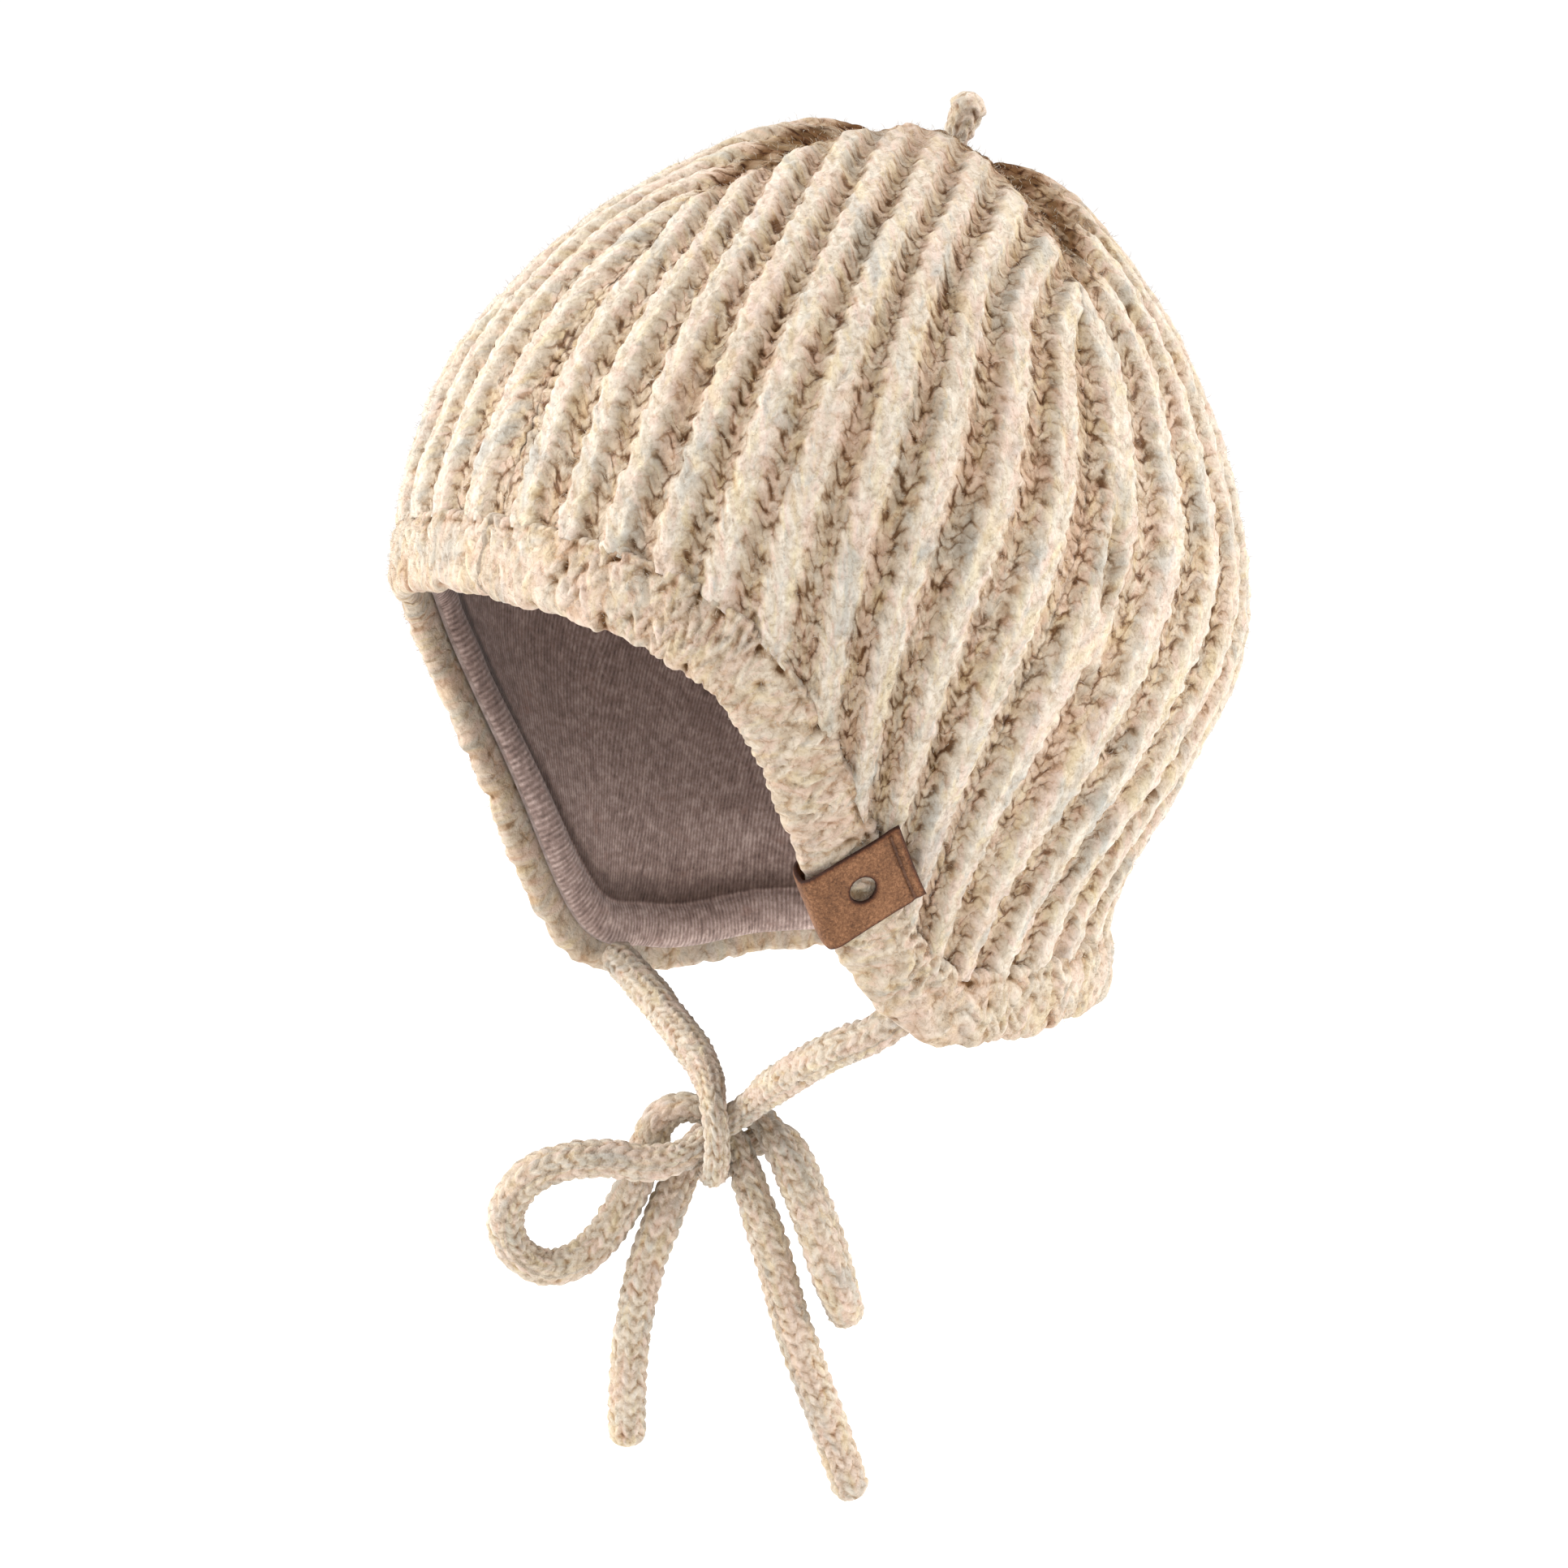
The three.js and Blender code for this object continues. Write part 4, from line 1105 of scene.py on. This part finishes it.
def rings_round(line, sides):
    """Directions from a line's points to a ring round each, without twist, and ahead."""
    ahead = unit(np.gradient(line, axis=0))
    side = np.empty_like(ahead)
    side[0] = unit(np.cross([0.3, 0, 1.0], ahead[0]))
    for i in range(1, len(line)):
        side[i] = unit(side[i - 1] - ahead[i] * np.dot(side[i - 1], ahead[i]))
    up = np.cross(ahead, side)
    turn = np.arange(sides) / sides * 2 * math.pi
    ring = side[:, None] * np.cos(turn)[None, :, None] + up[:, None] * np.sin(turn)[None, :, None]
    return ring, turn, ahead


def tube_mesh(name, points, tips, looks):
    """Closed tube from rings of points and its two end points."""
    count, sides = points.shape[:2]
    quads = grid_quads(count, sides, wrap=True, flip=True)
    first = np.arange(sides)
    tip = count * sides
    triangles = np.concatenate([fan(tip, first, flip=True), fan(tip + 1, tip - sides + first)])
    ends = {key: np.zeros((2, *values.shape[1:])) + 0.5 for key, values in looks.items()}
    looks = {key: np.concatenate([values, ends[key]]) for key, values in looks.items()}
    return make_mesh(name, np.concatenate([points.reshape(-1, 3), tips]), quads, triangles, looks)


CORD_SIDES = 36
CORD_SPACING = 0.5                   # between a cord's rings
CORD_WALES = 6                       # round a cord
CORD_ROW = 2.7
CORD_STITCH = 3.9                    # width of one wale
CORD_TWIST = 0.010                   # wales that a cord turns by in a millimetre


def knitted_cord(name, places, radii, seed):
    """Tube of stitches: wales run along it and each stitch is a slanting pair of legs."""
    line, radius, down = cord_line(places, radii, CORD_SPACING)
    ring, turn, ahead = rings_round(line, CORD_SIDES)
    base = line[:, None] + ring * radius[:, None, None]
    place = turn[None] / (2 * math.pi) * CORD_WALES + CORD_TWIST * down[:, None]
    place = place + 0.06 * noise(base, 7, seed + 4)
    rows = down[:, None] / CORD_ROW + 0.3 * noise(base, 12, seed)
    t = np.abs(from_crest(place)) / 0.5
    phase = rows + 0.75 * t
    leg = np.clip(0.1 + 0.9 * (1 - np.abs(2 * t - 1) ** 2.0), 0, 1)
    legs = leg * (0.2 + 0.8 * row_bump(phase)) - 0.4 * yarn_gap(phase)
    soft = 0.16 * noise(base, 2.2, seed + 1) + 0.12 * noise(base, 1.2, seed + 2)
    lumps = 0.22 * noise(base, 8, seed + 3)
    height = radius[:, None] - 0.32 + 0.7 * legs + soft + lumps
    ends = np.minimum(down, down[-1] - down)
    taper = np.sqrt(np.clip(1 - (1 - np.clip(ends / (radius * 0.9), 0, 1)) ** 2, 0.02, 1))
    points = line[:, None] + ring * (height * taper[:, None])[..., None]
    tips = np.array([line[0] - ahead[0] * 0.1, line[-1] + ahead[-1] * 0.1])
    # painted shade: lift is low in the gaps between the stitches
    looks = {
        "lift": (0.42 + 0.42 * legs + 0.4 * soft).ravel(),
        "knit": knit_places(phase * CORD_ROW, place * CORD_STITCH),
    }
    return tube_mesh(name, points, tips, looks), line, down[-1], points


def tie_places(route):
    right = np.array([math.cos(KNOT_TURN), math.sin(KNOT_TURN), 0])
    near = np.array([right[1], -right[0], 0])
    rows = np.array(route)
    up = np.array([0, 0, 1.0])
    return KNOT - SEAT + rows[:, :1] * right + rows[:, 2:3] * near + rows[:, 1:2] * up


TIE_HAIRS = 2200


def make_tie(name, node, route, seed):
    places = tie_places(route)
    radii = [row[3] for row in route]
    piece, line, length, points = knitted_cord(name, places, radii, seed)
    finish_piece(piece, TIE_WOOL, "tie_knit", node)
    make_hairs("hairs_" + node, points[4:-4, ::-1], TIE_HAIRS, seed + 5, TIE_WOOL, "tie_knit", 1.5)


make_tie("tie_right_knit", "tie_right", TIE_RIGHT, 31)
make_tie("tie_left_knit", "tie_left", TIE_LEFT, 41)


STUB_SHAPE = [
    # share of the stub's height, radius
    (-0.2, 2.4), (0.15, 2.6), (0.5, 3.1), (0.8, 3.7), (1.03, 3.7),
]


def make_stub():
    foot = skin_point(0.0, 0.0) + [0, 0, WALL_FLOOR + 0.9]
    lean = unit(np.array([0.22, 0.30, 0.93]))
    places = [foot + lean * share * STUB_HEIGHT for share, radius in STUB_SHAPE]
    piece = knitted_cord("top_stub_knit", places, [radius for share, radius in STUB_SHAPE], 51)[0]
    finish_piece(piece, WOOL, "wool_knit", "top_stub")


make_stub()


# Label: a strip folded over the band's edge, with a round hole and a line of stitching

LABEL_WALL = 1.2
LABEL_SECTION = [
    # across the band and out, at the middle of the strip's wall, from its inner end
    (10.2, -0.95), (12.6, -0.95), (14.2, -0.5), (14.8, 1.0), (14.75, 4.2), (14.3, 6.0),
    (12.9, 6.9), (10.4, 7.05), (6.0, 7.0), (2.0, 6.95), (-2.2, 6.8), (-4.1, 6.5), (-6.3, 6.55),
]
LABEL_COLUMNS = 33
LABEL_CELL = LABEL_WIDTH / (LABEL_COLUMNS - 1)
HOLE_CELLS = 6                       # half of the square patch round the hole
HOLE_RINGS = 3
SEW_IN = 2.3                         # from the far end to the line of stitching
SEW_DEPTH = 0.28                     # how deep the stitching pulls the label in


def walk_round(low_row, high_row, low, high):
    """Spots of a grid along a rectangle's border, each once."""
    return (
        [(low_row, j) for j in range(low, high)] + [(i, high) for i in range(low_row, high_row)]
        + [(high_row, j) for j in range(high, low, -1)]
        + [(i, low) for i in range(high_row, low_row, -1)]
    )


def label_plan(rows, columns, hole_row):
    """Grid of cells with a round hole: places in cells, quads, both borders, the hole's centre."""
    middle = columns // 2
    low_row, high_row = hole_row - HOLE_CELLS, hole_row + HOLE_CELLS
    low, high = middle - HOLE_CELLS, middle + HOLE_CELLS
    r, c = np.mgrid[0:rows, 0:columns]
    gone = (r > low_row) & (r < high_row) & (c > low) & (c < high)
    number = np.full((rows, columns), -1)
    number[~gone] = np.arange(np.count_nonzero(~gone))
    places = [np.stack([r[~gone], c[~gone]], -1).astype(float)]
    quads = []
    for i in range(rows - 1):
        for j in range(columns - 1):
            if low_row <= i < high_row and low <= j < high:
                continue
            quads.append((number[i, j], number[i + 1, j], number[i + 1, j + 1], number[i, j + 1]))
    square = walk_round(low_row, high_row, low, high)
    loop = [number[spot] for spot in square]
    centre = np.array([hole_row, middle], float)
    corners = np.array(square, float)
    circle = centre + unit(corners - centre) * LABEL_HOLE / LABEL_CELL
    first = len(places[0])
    for ring in range(1, HOLE_RINGS + 1):
        share = ring / HOLE_RINGS
        places.append(corners * (1 - share) + circle * share)
        new = [first + k for k in range(len(loop))]
        for k in range(len(loop)):
            after = (k + 1) % len(loop)
            quads.append((loop[k], loop[after], new[after], new[k]))
        loop = new
        first += len(loop)
    border = [number[spot] for spot in walk_round(0, rows - 1, 0, columns - 1)]
    return np.concatenate(places), np.array(quads), border, loop, centre


def label_surface(places, steps, line):
    """Point and the strip's own outward way for places in rows and columns of cells."""
    row = places[:, 0] * LABEL_CELL
    section = np.stack([np.interp(row, steps, line[:, k]) for k in (0, 1)], -1)
    tangent = np.gradient(line, axis=0)
    slope = unit(np.stack([np.interp(row, steps, tangent[:, k]) for k in (0, 1)], -1))
    aside = places[:, 1] * LABEL_CELL - LABEL_WIDTH / 2
    aside = aside / (1 + LABEL_FLARE * section[:, 0])
    aside = aside + LABEL_SLANT * (section[:, 0] - HOLE_ACROSS)
    probe = LABEL_AT + np.linspace(-0.3, 0.3, 101)
    edge = skin_point(probe, edge_along(probe))
    reach = lengths_along(edge, 0)
    at, out, across = edge_frame(np.interp(aside, reach - reach[len(probe) // 2], probe))
    point = at + across * section[:, :1] + out * section[:, 1:]
    way = across * slope[:, 1:] - out * slope[:, :1]
    return point, way


def make_label():
    fine = curve_points([(*spot, 0) for spot in LABEL_SECTION], np.linspace(0, 1, 400))[:, :2]
    steps = lengths_along(fine, 0)
    rows = int(steps[-1] / LABEL_CELL) + 1
    fold = steps[np.argmax(fine[:, 1] > 5.5)]
    outer_leg = steps > fold
    to_hole = np.interp(-HOLE_ACROSS, -fine[outer_leg, 0], steps[outer_leg])
    hole_row = round(float(to_hole) / LABEL_CELL)
    places, quads, border, hole, centre = label_plan(rows, LABEL_COLUMNS, hole_row)
    point, way = label_surface(places, steps, fine)
    from_ends = np.minimum(places[:, 0], rows - 1 - places[:, 0])
    from_sides = np.minimum(places[:, 1], LABEL_COLUMNS - 1 - places[:, 1])
    from_border = np.minimum(from_ends, from_sides) * LABEL_CELL
    from_hole = (np.linalg.norm(places - centre, axis=1) * LABEL_CELL) - LABEL_HOLE
    from_edge = np.minimum(from_border, np.abs(from_hole))
    half = LABEL_WALL / 2 * (0.55 + 0.45 * smooth(from_edge / 0.8))
    to_end = (rows - 1 - places[:, 0]) * LABEL_CELL
    pulled = np.exp(-((to_end - SEW_IN) / 0.4) ** 2)
    uneven = 0.12 * noise(point, 6, 61)
    upper = point + way * (half - SEW_DEPTH * pulled + uneven)[:, None]
    lower = point - way * (half - uneven)[:, None]
    count = len(places)
    faces = [quads, quads[:, ::-1] + count]
    for loop in (border, hole):
        loop = np.array(loop)
        after = np.roll(loop, -1)
        faces.append(np.stack([loop, after, after + count, loop + count], -1))
    # the singed edges darken, and painted shade fills the groove that the stitching pulls in
    lift = smooth(from_edge / 0.9) * (1 - 0.55 * pulled)
    lift = lift * (0.72 + 0.28 * smooth(to_end / 1.6))
    looks = {"lift": np.concatenate([lift, lift * 0.6])}
    points = np.concatenate([upper, lower])
    piece = make_mesh("label_strip", points, np.concatenate(faces), [], looks)
    turn_out(piece)
    finish_piece(piece, LEATHERETTE, "leatherette", "label")
    make_stitching(rows, steps, fine)


def turn_out(piece):
    """Makes every face of a closed piece point outward."""
    mesh = bmesh.new()
    mesh.from_mesh(piece.data)
    bmesh.ops.recalc_face_normals(mesh, faces=mesh.faces)
    mesh.to_mesh(piece.data)
    mesh.free()


STITCHES = 6
SPOTS_PER_STITCH = 12
THREAD_RADIUS = 0.26
THREAD_SIDES = 8


def make_stitching(rows, steps, fine):
    """Thread that dips into the label between its stitches."""
    spots = SPOTS_PER_STITCH * STITCHES + 1
    share = np.linspace(0.05, 0.95, spots)
    row = np.full(spots, rows - 1 - SEW_IN / LABEL_CELL)
    point, way = label_surface(np.stack([row, share * (LABEL_COLUMNS - 1)], -1), steps, fine)
    rise = 0.30 + 0.38 * np.sqrt(np.abs(np.sin(share / share[-1] * STITCHES * math.pi)))
    line = point + way * rise[:, None]
    ring, turn, ahead = rings_round(line, THREAD_SIDES)
    points = line[:, None] + ring * THREAD_RADIUS
    looks = {"lift": np.full(points.size // 3, 0.9)}
    tips = np.array([line[0] - ahead[0] * 0.15, line[-1] + ahead[-1] * 0.15])
    piece = tube_mesh("label_thread", points, tips, looks)
    finish_piece(piece, THREAD, "leatherette")


make_label()


# Studio

LIGHTS = [
    # name, turn and rise round the hat in degrees, distance and size in metres, watts
    ("left", -40, 30, 1.1, 0.9, 15.5),
    ("right", 138, 28, 1.2, 0.9, 13.5),
    ("top", 40, 78, 1.3, 1.0, 0.2),
    ("front", 25, 2, 1.3, 0.7, 0.3),
]


WORLD_LIGHT = 1.06
FLOOR_HALF = 6.0
FLOOR_HEIGHT = -0.36


def make_studio():
    scene = bpy.context.scene
    scene.view_settings.view_transform = "Standard"
    scene.view_settings.look = "None"
    scene.view_settings.exposure = 0
    scene.view_settings.gamma = 1
    world = bpy.data.worlds.new("studio")
    world.use_nodes = True
    background = world.node_tree.nodes["Background"]
    background.inputs[0].default_value = (1, 1, 1, 1)
    background.inputs[1].default_value = WORLD_LIGHT
    scene.world = world
    floor_mesh = bpy.data.meshes.new("floor")
    corners = [(x * FLOOR_HALF, y * FLOOR_HALF, 0) for x, y in ((-1, -1), (1, -1), (1, 1), (-1, 1))]
    floor_mesh.from_pydata(corners, [], [(0, 1, 2, 3)])
    floor = bpy.data.objects.new("floor", floor_mesh)
    floor.location.z = FLOOR_HEIGHT
    scene.collection.objects.link(floor)
    paint = Nodes("floor")
    paint.set(paint.shader, "Base Color", (0.96, 0.96, 0.96, 1))
    paint.set(paint.shader, "Roughness", 1.0)
    paint.set(paint.shader, "Specular IOR Level", 0.0)
    floor_mesh.materials.append(paint.material)
    for name, turn, rise, distance, size, watts in LIGHTS:
        data = bpy.data.lights.new(name, "AREA")
        data.size = size
        data.energy = watts
        light = bpy.data.objects.new(name, data)
        aim(light, math.radians(turn), math.radians(rise), distance)


make_studio()
